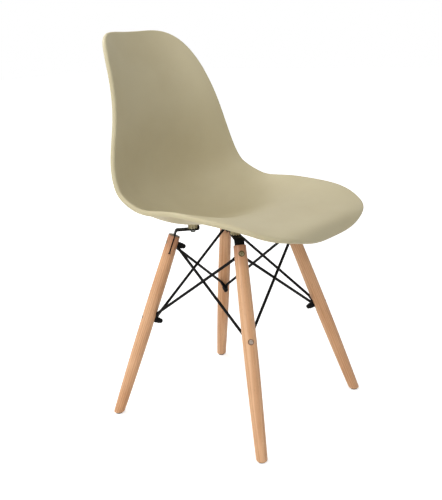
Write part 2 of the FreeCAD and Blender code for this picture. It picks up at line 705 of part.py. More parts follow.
# Shell.  Its inner face is a surface over two shares: across, from -1 to 1 at the edges, and
# along, from 0 at the front lip to 1 at the top of the back.
class Spline:
    """Smooth curve of one value over rising knots, with no bend left at its ends."""

    def __init__(self, knots, values):
        count = len(knots)
        self.knots, self.values = knots, values
        lower = [0.0] * count
        weight = [0.0] * count
        for i in range(1, count - 1):
            left = knots[i] - knots[i - 1]
            right = knots[i + 1] - knots[i]
            pull = 6 * ((values[i + 1] - values[i]) / right - (values[i] - values[i - 1]) / left)
            scale = 2 * (left + right) - left * lower[i - 1]
            lower[i] = right / scale
            weight[i] = (pull - left * weight[i - 1]) / scale
        self.bends = [0.0] * count
        for i in range(count - 2, 0, -1):
            self.bends[i] = weight[i] - lower[i] * self.bends[i + 1]

    def span(self, at):
        """Index of the knot before a place, its step, and the shares of the two knots."""
        i = 0
        while i < len(self.knots) - 2 and at > self.knots[i + 1]:
            i += 1
        step = self.knots[i + 1] - self.knots[i]
        share = (at - self.knots[i]) / step
        return i, step, share

    def value(self, at):
        """Height of the curve."""
        i, step, b = self.span(at)
        a = 1 - b
        bend = (a ** 3 - a) * self.bends[i] + (b ** 3 - b) * self.bends[i + 1]
        return a * self.values[i] + b * self.values[i + 1] + bend * step ** 2 / 6

    def slope(self, at):
        """Steepness of the curve."""
        i, step, b = self.span(at)
        a = 1 - b
        bend = (3 * b ** 2 - 1) * self.bends[i + 1] - (3 * a ** 2 - 1) * self.bends[i]
        return (self.values[i + 1] - self.values[i]) / step + bend * step / 6


station_points = [V(0, y, pan_height + rise) for y, rise in zip(station_y, station_rise)]
station_runs = [0.0]
for near, far in zip(station_points, station_points[1:]):
    station_runs.append(station_runs[-1] + far.distanceToPoint(near))
middle_length = station_runs[-1]
station_shares = [run / middle_length for run in station_runs]
middle_y = Spline(station_shares, [point.y for point in station_points])
middle_z = Spline(station_shares, [point.z for point in station_points])
half_width = Spline(station_shares, station_half)
dish = Spline(station_shares, station_dish)
roll = Spline(station_shares, station_roll)


def inner_point(across, along):
    """Point on the sitter's side of the shell."""
    held = min(max(along, 0.0), 1.0)
    direction = V(0, middle_y.slope(held), middle_z.slope(held)).normalize()
    middle = V(0, middle_y.value(held), middle_z.value(held)) + direction * ((along - held) * middle_length)
    share = abs(across)
    turned = max(0.0, (share - ROLL_START) / (1 - ROLL_START))
    lift = dish.value(held) * share ** DISH_POWER - roll.value(held) * turned ** 2
    return V(across * half_width.value(held), middle.y - lift * direction.z, middle.z + lift * direction.y)


def inner_normal(across, along):
    """Direction out of the inner face, towards the sitter."""
    sideways = inner_point(across + NORMAL_STEP, along) - inner_point(across - NORMAL_STEP, along)
    lengthways = inner_point(across, along + NORMAL_STEP) - inner_point(across, along - NORMAL_STEP)
    return sideways.cross(lengthways).normalize()


def squareness(height):
    """The front end and the crown are rounded off differently."""
    return FRONT_SQUARENESS if height < 0 else CROWN_SQUARENESS


def wall_depth(across, along):
    """The wall thickens smoothly to the rim near the edge."""
    height = 2 * along - 1
    power = squareness(height)
    share = (abs(across) ** power + abs(height) ** power) ** (1 / power)
    ramp = min(max((share - 1 + RIM_BLEND) / RIM_BLEND, 0.0), 1.0)
    return shell_wall + (rim_thickness - shell_wall) * ramp * ramp * (3 - 2 * ramp)


def shell_surface(depth_share):
    """Smooth surface at a share of the wall's depth below the inner face."""
    rows = []
    for i in range(ACROSS_STEPS + 1):
        across = OVERRUN_ACROSS * (2 * i / ACROSS_STEPS - 1)
        row = []
        for j in range(ALONG_STEPS + 1):
            along = -OVERRUN_ALONG + (1 + 2 * OVERRUN_ALONG) * j / ALONG_STEPS
            depth = depth_share * wall_depth(across, along)
            row.append(inner_point(across, along) - inner_normal(across, along) * depth)
        rows.append(row)
    surface = Part.BSplineSurface()
    surface.interpolate(rows)
    return surface


def outline_shares():
    """Rounded outline of the shell as pairs of shares, in even turns from the front lip."""
    pairs = []
    for i in range(OUTLINE_STEPS):
        turn = 2 * math.pi * i / OUTLINE_STEPS - math.pi / 2
        side, height = math.cos(turn), math.sin(turn)
        power = squareness(height)
        reach = (abs(side) ** power + abs(height) ** power) ** (-1 / power)
        pairs.append((reach * side, 0.5 + 0.5 * reach * height))
    return pairs


def places_on(surface, points):
    """Where points near a surface lie on it, as pairs of its own parameters."""
    return [FreeCAD.Base.Vector2d(*surface.parameter(point)) for point in points]


def closed_wire(knots, edge_between):
    """Closed line in several lengths, so that no face has to run all the way round the shell."""
    cuts = knots[::(len(knots) - 1) // RIM_LENGTHS][:RIM_LENGTHS] + [1.0]
    return Part.Wire([edge_between(first, last) for first, last in zip(cuts, cuts[1:])])


def trimmed_face(surface, places, knots):
    """Cut a surface along a closed line of places on it."""
    curve = Part.Geom2d.BSplineCurve2d()
    curve.interpolate(Points=places, PeriodicFlag=True, Parameters=knots)
    return Part.Face(surface, closed_wire(knots, lambda first, last: curve.toShape(surface, first, last)))


def ring_wire(points, knots):
    """Smooth closed line through points along the rim."""
    curve = Part.BSplineCurve()
    curve.interpolate(Points=points, PeriodicFlag=True, Parameters=knots)
    return closed_wire(knots, curve.toShape)


def make_wall():
    """Inner face, outer face and round rim, sewn into one solid wall."""
    pairs = outline_shares()
    count = len(pairs)
    inner_surface = shell_surface(0.0)
    outer_surface = shell_surface(1.0)
    inner_edge = [inner_point(*pair) for pair in pairs]
    outer_edge = [point - inner_normal(*pair) * rim_thickness for point, pair in zip(inner_edge, pairs)]
    inner_places = places_on(inner_surface, inner_edge)
    outer_places = places_on(outer_surface, outer_edge)
    inner_edge = [inner_surface.value(place.x, place.y) for place in inner_places]
    outer_edge = [outer_surface.value(place.x, place.y) for place in outer_places]
    spans = [inner_edge[(i + 1) % count].distanceToPoint(inner_edge[i]) for i in range(count)]
    knots = [sum(spans[:i]) / sum(spans) for i in range(count)] + [1.0]
    inner = trimmed_face(inner_surface, inner_places, knots)
    outer = trimmed_face(outer_surface, outer_places, knots)
    rings = [inner.Wires[0]]
    for m in range(1, RIM_STEPS):
        turn = math.pi * m / RIM_STEPS
        ring = []
        for i in range(count):
            across_wall = (inner_edge[i] - outer_edge[i]) * 0.5
            forward = inner_edge[(i + 1) % count] - inner_edge[i - 1]
            outward = forward.cross(across_wall).normalize()
            middle = (inner_edge[i] + outer_edge[i]) * 0.5
            ring.append(middle + across_wall * math.cos(turn) + outward * (rim_bulge * math.sin(turn)))
        rings.append(ring_wire(ring, knots))
    rings.append(outer.Wires[0])
    rim = Part.makeLoft(rings, False, True)
    skin = Part.makeShell([inner, outer] + rim.Faces)
    skin.sewShape(SEW_GAP)
    solid = Part.makeSolid(skin)
    if solid.Volume < 0:
        solid.reverse()
    return solid


def make_boss(frame):
    """Ribbed boss: a core with short ribs round it, taller than the room under the pan."""
    tall = pan_over_arm + thigh_rise + shell_wall
    rib_count = int(round(boss_rib_count))
    boss = Part.makeCylinder(boss_core_diameter / 2, tall)
    ribs = []
    for i in range(rib_count):
        rib = Part.makeBox(boss_rib_diameter / 2, boss_rib_thickness, tall, V(0, -boss_rib_thickness / 2, 0))
        rib.rotate(V(), V(0, 0, 1), 360 * i / rib_count)
        ribs.append(rib)
    boss = boss.multiFuse(ribs)
    boss.Placement = frame
    return boss


def make_shell(screw_frames):
    """Wall of the shell with its bosses, each pocketed for an insert."""
    middle = shell_surface(0.5)
    bosses = []
    for frame in screw_frames:
        # The boss ends half way into the wall, under a patch of the surface in its middle.
        around = V(boss_rib_diameter, boss_rib_diameter, 0)
        over = V(frame.Base.x, frame.Base.y, pan_height)
        first = middle.parameter(over - around)
        last = middle.parameter(over + around)
        patch = middle.toShape(first[0], last[0], first[1], last[1])
        room = patch.extrude(V(0, 0, -2 * (pan_over_arm + thigh_rise)))
        boss = make_boss(frame).common(room)
        pocket_radius = (insert_diameter + insert_pocket_gap) / 2
        pocket_solid = Part.makeCylinder(pocket_radius, insert_length + insert_pocket_gap)
        pocket_solid.Placement = frame
        bosses.append(boss.cut(pocket_solid))
    solid = make_wall().multiFuse(bosses)
    feature = doc.addObject("Part::Feature", "seat_shell")
    feature.Label = "seat_shell"
    feature.Shape = Part.Solid(solid.Solids[0]) if len(solid.Solids) == 1 else solid
    return feature


leg_frames = [corner_frame(sign_x, sign_y) for _, sign_x, sign_y in CORNERS]
screw_frames = [upright_frame(sign_x, sign_y, screw_run, arm_top_height) for _, sign_x, sign_y in CORNERS]
foot_run = glide_thickness * math.tan(splay) - plan_run
foot_frames = [upright_frame(sign_x, sign_y, foot_run, 0) for _, sign_x, sign_y in CORNERS]
sub_parts = [make_shell(screw_frames)]

for (corner, sign_x, sign_y), frame in zip(CORNERS, leg_frames):
    leg = make_leg("leg_" + corner)
    leg.Placement = frame
    bracket = make_bracket("bracket_" + corner)
    bracket.Placement = frame
    sub_parts += [leg, bracket]

# On each side of the chair two braces cross.  Seen from outside, one comes down to the left and
# lies next to the legs, and the other comes down to the right and lies next to the nuts.
SIDES = ("front", "right", "rear", "left")
for i, side in enumerate(SIDES):
    left_frame, right_frame = leg_frames[i], leg_frames[(i + 1) % 4]
    first, first_line = make_brace("brace_%s_down_left" % side, right_frame, left_frame, NEAR)
    second, second_line = make_brace("brace_%s_down_right" % side, left_frame, right_frame, FAR)
    gap = first.Shape.distToShape(second.Shape)[0]
    print("%s braces pass each other %.2f mm apart" % (side, gap))
    sub_parts += [first, second]

inserts = make_ring("insert", "0", "insert_length", "insert_diameter", "screw_diameter + thread_gap")
sub_parts.append(place_group("shell_inserts", inserts, screw_frames))
sub_parts.append(place_group("shell_screws", make_screw(), screw_frames))
washer = make_ring("washer", "-(strip_thickness + washer_thickness)", "washer_thickness",
                   "washer_diameter", "screw_diameter + screw_hole_gap")
sub_parts.append(place_group("shell_washers", washer, screw_frames))
nut = make_nut()
leg_bolts = (("upper", upper_radius, upper_bolt_down), ("lower", lower_radius, lower_bolt_down))
for place, radius, down in leg_bolts:
    head_frames = [along_bolt(frame, radius - bolt_head_sink, down) for frame in leg_frames]
    sub_parts.append(place_group(place + "_leg_bolts", make_leg_bolt(place), head_frames))
    nut_out = radius - seat_flat_depth + 3 * stack_gap + 2 * eye_thickness
    nut_frames = [along_bolt(frame, -nut_out, down) for frame in leg_frames]
    sub_parts.append(place_group(place + "_dome_nuts", nut, nut_frames))
sub_parts.append(place_group("glides", make_glide(), foot_frames))
sub_parts.append(place_group("glide_nails", make_nail(), foot_frames))

doc.recompute()
for item in doc.Objects:
    if "Invalid" in item.State or "Error" in item.State:
        raise ValueError("%s failed: %s" % (item.Label, item.State))
for item in sub_parts:
    shape = item.Shape
    if shape.isNull() or not shape.isValid() or not shape.Solids:
        raise ValueError("%s has no valid solid" % item.Label)
    print("%-24s %d solids, %.1f cm3" % (item.Label, len(shape.Solids), shape.Volume / 1000))
os.makedirs("parts", exist_ok=True)
for item in sub_parts:
    item.Shape.exportStep("parts/%s.step" % item.Label)
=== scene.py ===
# %% [markdown]
# # A moulded shell chair on turned wooden legs
# The solid model of the chair comes in as a fixed frame, in metres, and every piece made here
# stands exactly where its solid stands.  This notebook gives each visible piece a finer mesh
# and a material of its own, then adds the camera and a plain soft studio.

# %% Load the solid model
import math

import bmesh
import bpy
import numpy as np
from mathutils import Matrix, Vector


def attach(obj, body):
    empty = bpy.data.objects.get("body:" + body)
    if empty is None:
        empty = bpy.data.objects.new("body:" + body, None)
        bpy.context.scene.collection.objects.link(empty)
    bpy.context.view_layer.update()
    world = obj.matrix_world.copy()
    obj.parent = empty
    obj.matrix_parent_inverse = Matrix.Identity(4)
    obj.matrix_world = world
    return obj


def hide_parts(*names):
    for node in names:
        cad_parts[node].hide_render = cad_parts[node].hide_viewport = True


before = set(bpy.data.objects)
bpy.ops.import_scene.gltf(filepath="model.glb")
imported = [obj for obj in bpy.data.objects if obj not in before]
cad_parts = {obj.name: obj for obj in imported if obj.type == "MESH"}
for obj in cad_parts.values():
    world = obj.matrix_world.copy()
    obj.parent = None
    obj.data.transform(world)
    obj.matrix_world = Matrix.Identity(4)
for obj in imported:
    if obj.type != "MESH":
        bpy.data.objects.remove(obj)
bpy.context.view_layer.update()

print("solid nodes:", len(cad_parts))

# %% [markdown]
# ## The camera comes first
# A photograph fixes where the camera stood: which way it looked, how far off it was and how
# much it leaned.  Those numbers were solved from the four feet, the leg tops and the outline
# of the seat.  A long lens from 1.7 m away gives the calm perspective of a product picture.

# %% Camera
CAMERA_TURN = -52.563       # degrees from straight in front, to the left
CAMERA_RISE = 15.693        # degrees above level
CAMERA_LEAN = -2.465        # the picture's own tilt
CAMERA_DISTANCE = 1.71207
CAMERA_AIM = Vector((-0.00029, 0.02532, 0.34925))
FOCAL_LENGTH = 788.26       # in pixels of the picture
PICTURE_WIDTH = 442         # pixels
SENSOR_WIDTH = 36           # millimetres


def in_scene(name, data):
    """Object that shows some data, linked to the scene."""
    made = bpy.data.objects.new(name, data)
    bpy.context.scene.collection.objects.link(made)
    return made


def camera_axes(turn, rise, lean):
    """Right, up and back of a camera, turned about its own view line by its lean."""
    turn, rise, lean = math.radians(turn), math.radians(rise), math.radians(lean)
    back = Vector((math.sin(turn) * math.cos(rise), -math.cos(turn) * math.cos(rise),
                   math.sin(rise)))
    level = Vector((math.cos(turn), math.sin(turn), 0))
    upright = back.cross(level)
    right = level * math.cos(lean) + upright * math.sin(lean)
    up = upright * math.cos(lean) - level * math.sin(lean)
    return right, up, back


def axes_matrix(x, y, z):
    """Turn that carries the world's axes onto three given ones."""
    return Matrix((x, y, z)).transposed().to_4x4()


right, up, back = camera_axes(CAMERA_TURN, CAMERA_RISE, CAMERA_LEAN)
camera_data = bpy.data.cameras.new("photo_camera")
camera_data.sensor_fit = "HORIZONTAL"
camera_data.sensor_width = SENSOR_WIDTH
camera_data.lens = FOCAL_LENGTH / PICTURE_WIDTH * SENSOR_WIDTH
camera_data.clip_end = 50
camera = in_scene("photo_camera", camera_data)
stand = Matrix.Translation(CAMERA_AIM + back * CAMERA_DISTANCE)
camera.matrix_world = stand @ axes_matrix(right, up, back)
bpy.context.scene.camera = camera
print("camera stands at", [round(v, 3) for v in camera.matrix_world.translation])

# %% [markdown]
# ## Where the legs stand
# Everything below the seat is measured from the four legs.  Each leg has a frame of its own,
# with its origin at the middle of the leg's top, z up the leg and x away from the chair.
# Once a piece is drawn in that frame, one matrix puts it on any of the four corners.

# %% Leg frames
MM = 0.001
LEG_LENGTH = 423.7 * MM
TOP_HALF = Vector((91.3, 84.3)) * MM
FOOT_HALF = Vector((190.9, 191.7)) * MM
BASE_FORWARD = 7 * MM       # the base stands a little in front of the middle of the chair
GLIDE_THICKNESS = 3 * MM
ARM_RISE = 12.6 * MM        # from the leg's top up to the seat's supports
PLAN_RUN = (FOOT_HALF - TOP_HALF).length
LEG_TOP = math.sqrt(LEG_LENGTH ** 2 - PLAN_RUN ** 2)
SPLAY = math.atan2(PLAN_RUN, LEG_TOP)
CORNERS = {"front_left": (-1, -1), "front_right": (1, -1),
           "rear_right": (1, 1), "rear_left": (-1, 1)}


def heading(corner):
    """Direction in which a leg leans outward, seen from above."""
    sign_x, sign_y = CORNERS[corner]
    run = FOOT_HALF - TOP_HALF
    return math.atan2(sign_y * run.y, sign_x * run.x)


def upright_frame(corner, run, height):
    """Upright frame, a run inward from the leg's top in the leg's own plane."""
    sign_x, sign_y = CORNERS[corner]
    turn = heading(corner)
    x = sign_x * TOP_HALF.x - run * math.cos(turn)
    y = sign_y * TOP_HALF.y - BASE_FORWARD - run * math.sin(turn)
    return Matrix.Translation((x, y, height)) @ Matrix.Rotation(turn, 4, "Z")


def leg_frame(corner):
    """Frame of a leg, which leans outward."""
    return upright_frame(corner, 0, LEG_TOP) @ Matrix.Rotation(-SPLAY, 4, "Y")


print("leg tops stand %.1f mm high and lean %.1f degrees" % (LEG_TOP / MM, math.degrees(SPLAY)))

# %% [markdown]
# ## Small tools for making meshes
# Most small metal parts and the legs are turned: one outline goes round an axis.  A ring of
# the outline may also be a hexagon, for a nut or a key socket.  A second tool turns arrays of
# points and faces into an object, and marks only real corners as sharp, so that round faces
# shade smoothly.


# %% Mesh tools
def new_piece(name, points, faces, corner_angle=35):
    """Object from points and faces, with smooth faces and sharp corners."""
    mesh = bpy.data.meshes.new(name)
    mesh.from_pydata([tuple(p) for p in points], [], [tuple(f) for f in faces])
    work = bmesh.new()
    work.from_mesh(mesh)
    bmesh.ops.recalc_face_normals(work, faces=work.faces)
    work.to_mesh(mesh)
    work.free()
    smooth_corners(mesh, corner_angle)
    return in_scene(name, mesh)


def smooth_corners(mesh, corner_angle=35):
    """Smooth shading that breaks only at corners."""
    mesh.shade_smooth()
    mesh.set_sharp_from_angle(angle=math.radians(corner_angle))


def ring_points(row, steps, tilt):
    """Points of one ring, which may be a hexagon or lie in a plane that leans by a tilt."""
    radius, height, kind = (*row, "round")[:3]
    for k in range(steps):
        turn = 2 * math.pi * k / steps
        reach = radius
        if kind == "hex":
            reach /= math.cos((turn + math.pi / 6) % (math.pi / 3) - math.pi / 6)
        x, y = reach * math.cos(turn), reach * math.sin(turn)
        yield x, y, height - (x * math.tan(tilt) if kind == "level" else 0)


def turned_rings(rows, steps=48, tilt=0.0):
    """Points and faces of a turned form.  A row is (radius, height), with "hex" or "level" as
    a third entry where it isn't a plain ring.  A first row that comes again at the end closes
    the form."""
    points, faces, rings = [], [], []
    for row in rows:
        if rings and row == rows[0]:
            rings.append(rings[0])
            continue
        made = [(0, 0, row[1])] if row[0] == 0 else list(ring_points(row, steps, tilt))
        rings.append(range(len(points), len(points) + len(made)))
        points += made
    for low, high in zip(rings, rings[1:]):
        for k in range(steps):
            loop = (low[k % len(low)], low[(k + 1) % len(low)],
                    high[(k + 1) % len(high)], high[k % len(high)])
            face = [v for i, v in enumerate(loop) if v not in loop[:i]]
            if len(face) > 2:
                faces.append(face)
    return points, faces


def turned_piece(name, rows, steps=48, tilt=0.0):
    """Turned object round the z axis."""
    return new_piece(name, *turned_rings(rows, steps, tilt))


def baked(piece):
    """Gives a piece the result of its modifiers as a plain mesh, and drops the modifiers."""
    bpy.context.view_layer.update()
    result = piece.evaluated_get(bpy.context.evaluated_depsgraph_get())
    mesh = bpy.data.meshes.new_from_object(result)
    piece.modifiers.clear()
    piece.data = mesh
    mesh.name = piece.name
    return piece


def placed(piece, matrix):
    """Moves a piece's mesh to its place and leaves its object at the origin."""
    piece.data.transform(matrix)
    piece.data.update()


def marked(piece, name, values):
    """Writes one number for each point of a piece, under a name that node trees can read."""
    mark = piece.data.attributes.new(name, "FLOAT", "POINT")
    mark.data.foreach_set("value", [float(v) for v in values])
    return piece


def hand_over(piece, finish, slot, *nodes):
    """Gives a piece its finish, and ties it to the chair in place of its solid nodes."""
    if not piece.data.materials:
        piece.data.materials.append(finish)
    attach(piece, "root")
    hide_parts(*nodes)
    print("%-24s %6d faces" % (piece.name, len(piece.data.polygons)))


# %% [markdown]
# ## Tools for node trees
# Every material and every Geometry Nodes tree below is a net of nodes.  A few short helpers
# keep such a net readable: each one adds a node, feeds its inputs, and gives back the output
# that the next node needs.


# %% Node tools
def new_group(name, kind, inputs, outputs):
    """Node group with named sockets, and its input and output nodes."""
    group = bpy.data.node_groups.new(name, kind)
    for label, socket, *start in inputs:
        made = group.interface.new_socket(label, in_out="INPUT", socket_type="NodeSocket" + socket)
        if start:
            made.default_value = start[0]
    for label, socket in outputs:
        group.interface.new_socket(label, in_out="OUTPUT", socket_type="NodeSocket" + socket)
    return group, group.nodes.new("NodeGroupInput"), group.nodes.new("NodeGroupOutput")


def feed(tree, made, **values):
    """Links or writes a node's inputs by their names, or by number as i0, i1 and so on."""
    for key, value in values.items():
        numbered = key[0] == "i" and key[1:].isdigit()
        socket = made.inputs[int(key[1:]) if numbered else key.replace("_", " ")]
        if isinstance(value, bpy.types.NodeSocket):
            tree.links.new(value, socket)
        else:
            socket.default_value = value
    return made


def node(tree, kind, settings=None, **values):
    """Adds a node, sets its properties and feeds its inputs."""
    made = tree.nodes.new(kind)
    for key, value in (settings or {}).items():
        setattr(made, key, value)
    return feed(tree, made, **values)


def reckoned(tree, operation, *values, clamp=False):
    """Result of a Math node."""
    inputs = {"i%d" % i: value for i, value in enumerate(values)}
    return node(tree, "ShaderNodeMath", {"operation": operation, "use_clamp": clamp},
                **inputs).outputs[0]


def ranged(tree, value, low=0.0, high=1.0, to_low=0.0, to_high=1.0, smooth=False):
    """Value carried from one range to another, and held at the range's ends."""
    kind = {"interpolation_type": "SMOOTHSTEP" if smooth else "LINEAR"}
    return node(tree, "ShaderNodeMapRange", kind, Value=value, From_Min=low, From_Max=high,
                To_Min=to_low, To_Max=to_high).outputs["Result"]


def noise(tree, place, scale, detail, roughness=0.5):
    """Value of a noise at a place."""
    return node(tree, "ShaderNodeTexNoise", Vector=place, Scale=scale, Detail=detail,
                Roughness=roughness).outputs["Fac"]


def mixed(tree, share, first, second, blend="MIX"):
    """Colour that goes from a first to a second one by a share."""
    return node(tree, "ShaderNodeMix", {"data_type": "RGBA", "blend_type": blend},
                i0=share, i6=first, i7=second).outputs[2]


# %% [markdown]
# ## Effects that several materials share
# Real surfaces are never one flat value.  Three small node groups hold the effects that come
# back in several finishes: a fine skin texture, a worn edge, and soft clouds of tone.  Each
# material places a group and gives it its own sizes.


# %% Fine skin texture
def fine_skin_group():
    """Bump of two sizes of grain, as on moulded plastic or powder paint."""
    coarse_size, coarse_height = 0.17, 0.6      # beside the fine grain
    group, inside, outside = new_group(
        "fine_skin", "ShaderNodeTree",
        [("Vector", "Vector"), ("Grain Size", "Float", 1200.0), ("Depth", "Float", 0.00003),
         ("Strength", "Float", 0.3)],
        [("Normal", "Vector"), ("Grain", "Float")])
    place, size = inside.outputs["Vector"], inside.outputs["Grain Size"]
    fine = noise(group, place, size, 2.0)
    coarse = noise(group, place, reckoned(group, "MULTIPLY", size, coarse_size), 1.0)
    grain = reckoned(group, "MULTIPLY_ADD", coarse, coarse_height, fine)
    bump = node(group, "ShaderNodeBump", Height=grain, Distance=inside.outputs["Depth"],
                Strength=inside.outputs["Strength"])
    feed(group, outside, Normal=bump.outputs["Normal"], Grain=grain)
    return group


# %% Worn edges
def worn_edge_group():
    """Mask that is 1 along outward edges, broken up by noise."""
    flat, patch_size = 0.52, 160.0
    group, inside, outside = new_group(
        "worn_edge", "ShaderNodeTree",
        [("Vector", "Vector"), ("Sharpness", "Float", 8.0), ("Breakup", "Float", 0.5)],
        [("Mask", "Float")])
    shape = node(group, "ShaderNodeNewGeometry")
    raised = reckoned(group, "SUBTRACT", shape.outputs["Pointiness"], flat)
    sharp = reckoned(group, "MULTIPLY", raised, inside.outputs["Sharpness"], clamp=True)
    patches = noise(group, inside.outputs["Vector"], patch_size, 3.0)
    less = reckoned(group, "MULTIPLY", patches, inside.outputs["Breakup"])
    feed(group, outside, Mask=reckoned(group, "SUBTRACT", sharp, less, clamp=True))
    return group


# %% Clouds of tone
def tone_group():
    """Colour that drifts a little between two tones over the surface."""
    group, inside, outside = new_group(
        "drifting_tone", "ShaderNodeTree",
        [("Vector", "Vector"), ("Scale", "Float", 6.0), ("Light", "Color", (1, 1, 1, 1)),
         ("Dark", "Color", (0.9, 0.9, 0.9, 1))],
        [("Color", "Color"), ("Drift", "Float")])
    clouds = noise(group, inside.outputs["Vector"], inside.outputs["Scale"], 4.0, roughness=0.6)
    drift = ranged(group, clouds, 0.35, 0.65, smooth=True)
    colour = mixed(group, drift, inside.outputs["Dark"], inside.outputs["Light"])
    feed(group, outside, Color=colour, Drift=drift)
    return group


fine_skin, worn_edge, drifting_tone = fine_skin_group(), worn_edge_group(), tone_group()
print("shared effects:", fine_skin.name, worn_edge.name, drifting_tone.name)


# %% Material tools
def linear(red, green, blue):
    """Colour of a photograph, in steps of 255, as the renderer's linear colour."""
    return tuple(((c / 255 + 0.055) / 1.055) ** 2.4 if c > 10 else c / 255 / 12.92
                 for c in (red, green, blue)) + (1.0,)


def new_finish(name, **constants):
    """Material with its main shader, the object's coordinates, and constants on the shader."""
    material = bpy.data.materials.new(name)
    material.use_nodes = True
    tree = material.node_tree
    shader = feed(tree, tree.nodes["Principled BSDF"], **constants)
    return material, tree, shader, tree.nodes.new("ShaderNodeTexCoord").outputs["Object"]


def placed_group(tree, group, **values):
    """Uses a shared node group inside a material."""
    return node(tree, "ShaderNodeGroup", {"node_tree": group}, **values)


def dress(tree, shader, colour, skin, mask, rough_low, rough_high):
    """Puts a colour, a skin and a roughness that follows a mask on the main shader."""
    feed(tree, shader, Base_Color=colour, Normal=skin.outputs["Normal"],
         Roughness=ranged(tree, mask, to_low=rough_low, to_high=rough_high))


# %% [markdown]
# ## The shell's plastic
# The seat is injection-moulded polypropylene: through-coloured, satin, with the faint spark
# texture of the mould, and a little light that goes into the surface.  A plain diffuse colour
# would look like painted plaster, so the colour drifts slightly, and the grain breaks up the
# gloss and gives it a soft edge.

# %% Shell plastic
SHELL_COLOUR = linear(211, 200, 165)
SHELL_DEEPER = linear(206, 194, 158)
shell_plastic, tree, shader, place = new_finish(
    "shell_plastic", Subsurface_Weight=0.06, Subsurface_Scale=0.004,
    Subsurface_Radius=(1.0, 0.8, 0.5), Specular_IOR_Level=0.42)
tone = placed_group(tree, drifting_tone, Vector=place, Scale=5.0, Light=SHELL_COLOUR,
                    Dark=SHELL_DEEPER)
skin = placed_group(tree, fine_skin, Vector=place, Grain_Size=1500.0, Depth=0.00004,
                    Strength=0.25)
dress(tree, shader, tone.outputs["Color"], skin, skin.outputs["Grain"], 0.40, 0.56)
print("made", shell_plastic.name)

# %% [markdown]
# ## The form of the shell
# The shell follows a rule.  A middle line runs from the front lip over the pan and up the
# back, and at each station along it the shell has a half width, a dish and a rolled edge.
# Smooth curves through those station values give every point.  A sheet of squares is laid on
# that rule so that its outer loop is the rounded outline of the chair, then a second sheet
# lies one wall deeper, and a half round rim joins the two.  Writing it as arrays keeps the
# squares even, which a cut with a boolean would not.  The two front stations let the lip roll
# over a few millimetres more softly than the solid does, as the picture's shading shows.

# %% Shell sizes at the stations, in millimetres
PAN_HEIGHT = LEG_TOP / MM + ARM_RISE / MM + 12      # of the middle line, where it is lowest
STATION_Y = (-253.5, -245, -202, -102.5, -43.5, 50.5, 105.5, 150, 177.5, 183, 246.5)
STATION_RISE = (-3, 13, 26.5, 30.5, 16, 0, 13.5, 46.5, 134, 224.5, 389.5)
HALF_WIDTH = (199, 228, 242, 225.5, 213.5, 213, 212, 208.5, 196, 170, 143.5)
DISH = (30.5, 10, 15, 35, 53, 61.5, 62.5, 59.5, 51, 45.5, 43)
ROLL = (11, 12.5, 14.5, 9.5, 5.5, 3, 2, 1.5, 4, 5.5, 2)
DISH_POWER, ROLL_START = 2.32, 0.78
FRONT_SQUARENESS, CROWN_SQUARENESS = 3.2, 4.45
WALL, RIM_THICKNESS, RIM_BULGE, RIM_BLEND = 5.5, 10.1, 4.3, 0.14


def smooth_law(knots, values):
    """Natural smooth curve through values over rising knots: its height and its slope."""
    knots, values = np.array(knots, float), np.array(values, float)
    count, steps = len(knots), np.diff(knots)
    rises = np.diff(values) / steps
    table, pulls = np.eye(count), np.zeros(count)
    for i in range(1, count - 1):
        table[i, i - 1:i + 2] = steps[i - 1], 2 * (steps[i - 1] + steps[i]), steps[i]
        pulls[i] = 6 * (rises[i] - rises[i - 1])
    bends = np.linalg.solve(table, pulls)

    def parts(at):
        i = np.clip(np.searchsorted(knots, at) - 1, 0, count - 2)
        b = (at - knots[i]) / steps[i]
        return i, b, 1 - b

    def height(at):
        i, b, a = parts(at)
        curve = (a ** 3 - a) * bends[i] + (b ** 3 - b) * bends[i + 1]
        return a * values[i] + b * values[i + 1] + curve * steps[i] ** 2 / 6

    def slope(at):
        i, b, a = parts(at)
        curve = (3 * b ** 2 - 1) * bends[i + 1] - (3 * a ** 2 - 1) * bends[i]
        return rises[i] + curve * steps[i] / 6

    return height, slope


station_z = np.array(STATION_RISE) + PAN_HEIGHT
runs = np.concatenate([[0], np.cumsum(np.hypot(np.diff(STATION_Y), np.diff(station_z)))])
MIDDLE_LENGTH = runs[-1]
shares = runs / MIDDLE_LENGTH
middle_y, slope_y = smooth_law(shares, STATION_Y)
middle_z, slope_z = smooth_law(shares, station_z)
half_width, dish, roll = [smooth_law(shares, values)[0] for values in (HALF_WIDTH, DISH, ROLL)]
print("the middle line is %.0f mm long" % MIDDLE_LENGTH)


# %% The rule of the shell
def sitter_side(across, along):
    """Points of the sitter's side, in millimetres, over shares across and along."""
    held = np.clip(along, 0, 1)
    dy, dz = slope_y(held), slope_z(held)
    length = np.hypot(dy, dz)
    dy, dz = dy / length, dz / length
    share = np.abs(across)
    turn = np.clip((share - ROLL_START) / (1 - ROLL_START), 0, None)
    lift = dish(held) * share ** DISH_POWER - roll(held) * turn ** 2
    beyond = (along - held) * MIDDLE_LENGTH
    return np.stack([across * half_width(held), middle_y(held) + dy * beyond - lift * dz,
                     middle_z(held) + dz * beyond + lift * dy], -1)


def sitter_normal(across, along, step=0.002):
    """Direction towards the sitter."""
    sideways = sitter_side(across + step, along) - sitter_side(across - step, along)
    lengthways = sitter_side(across, along + step) - sitter_side(across, along - step)
    normal = np.cross(sideways, lengthways)
    return normal / np.linalg.norm(normal, axis=-1, keepdims=True)


def outline_share(across, height):
    """How far out a point lies: 1 on the outline, whose crown has tighter corners than its
    front.  Height goes from -1 at the front lip to 1 at the crown."""
    power = np.where(height < 0, FRONT_SQUARENESS, CROWN_SQUARENESS)
    return (np.abs(across) ** power + np.abs(height) ** power) ** (1 / power)


def smooth_step(share):
    """Share from 0 to 1 that starts and ends gently."""
    return share * share * (3 - 2 * share)


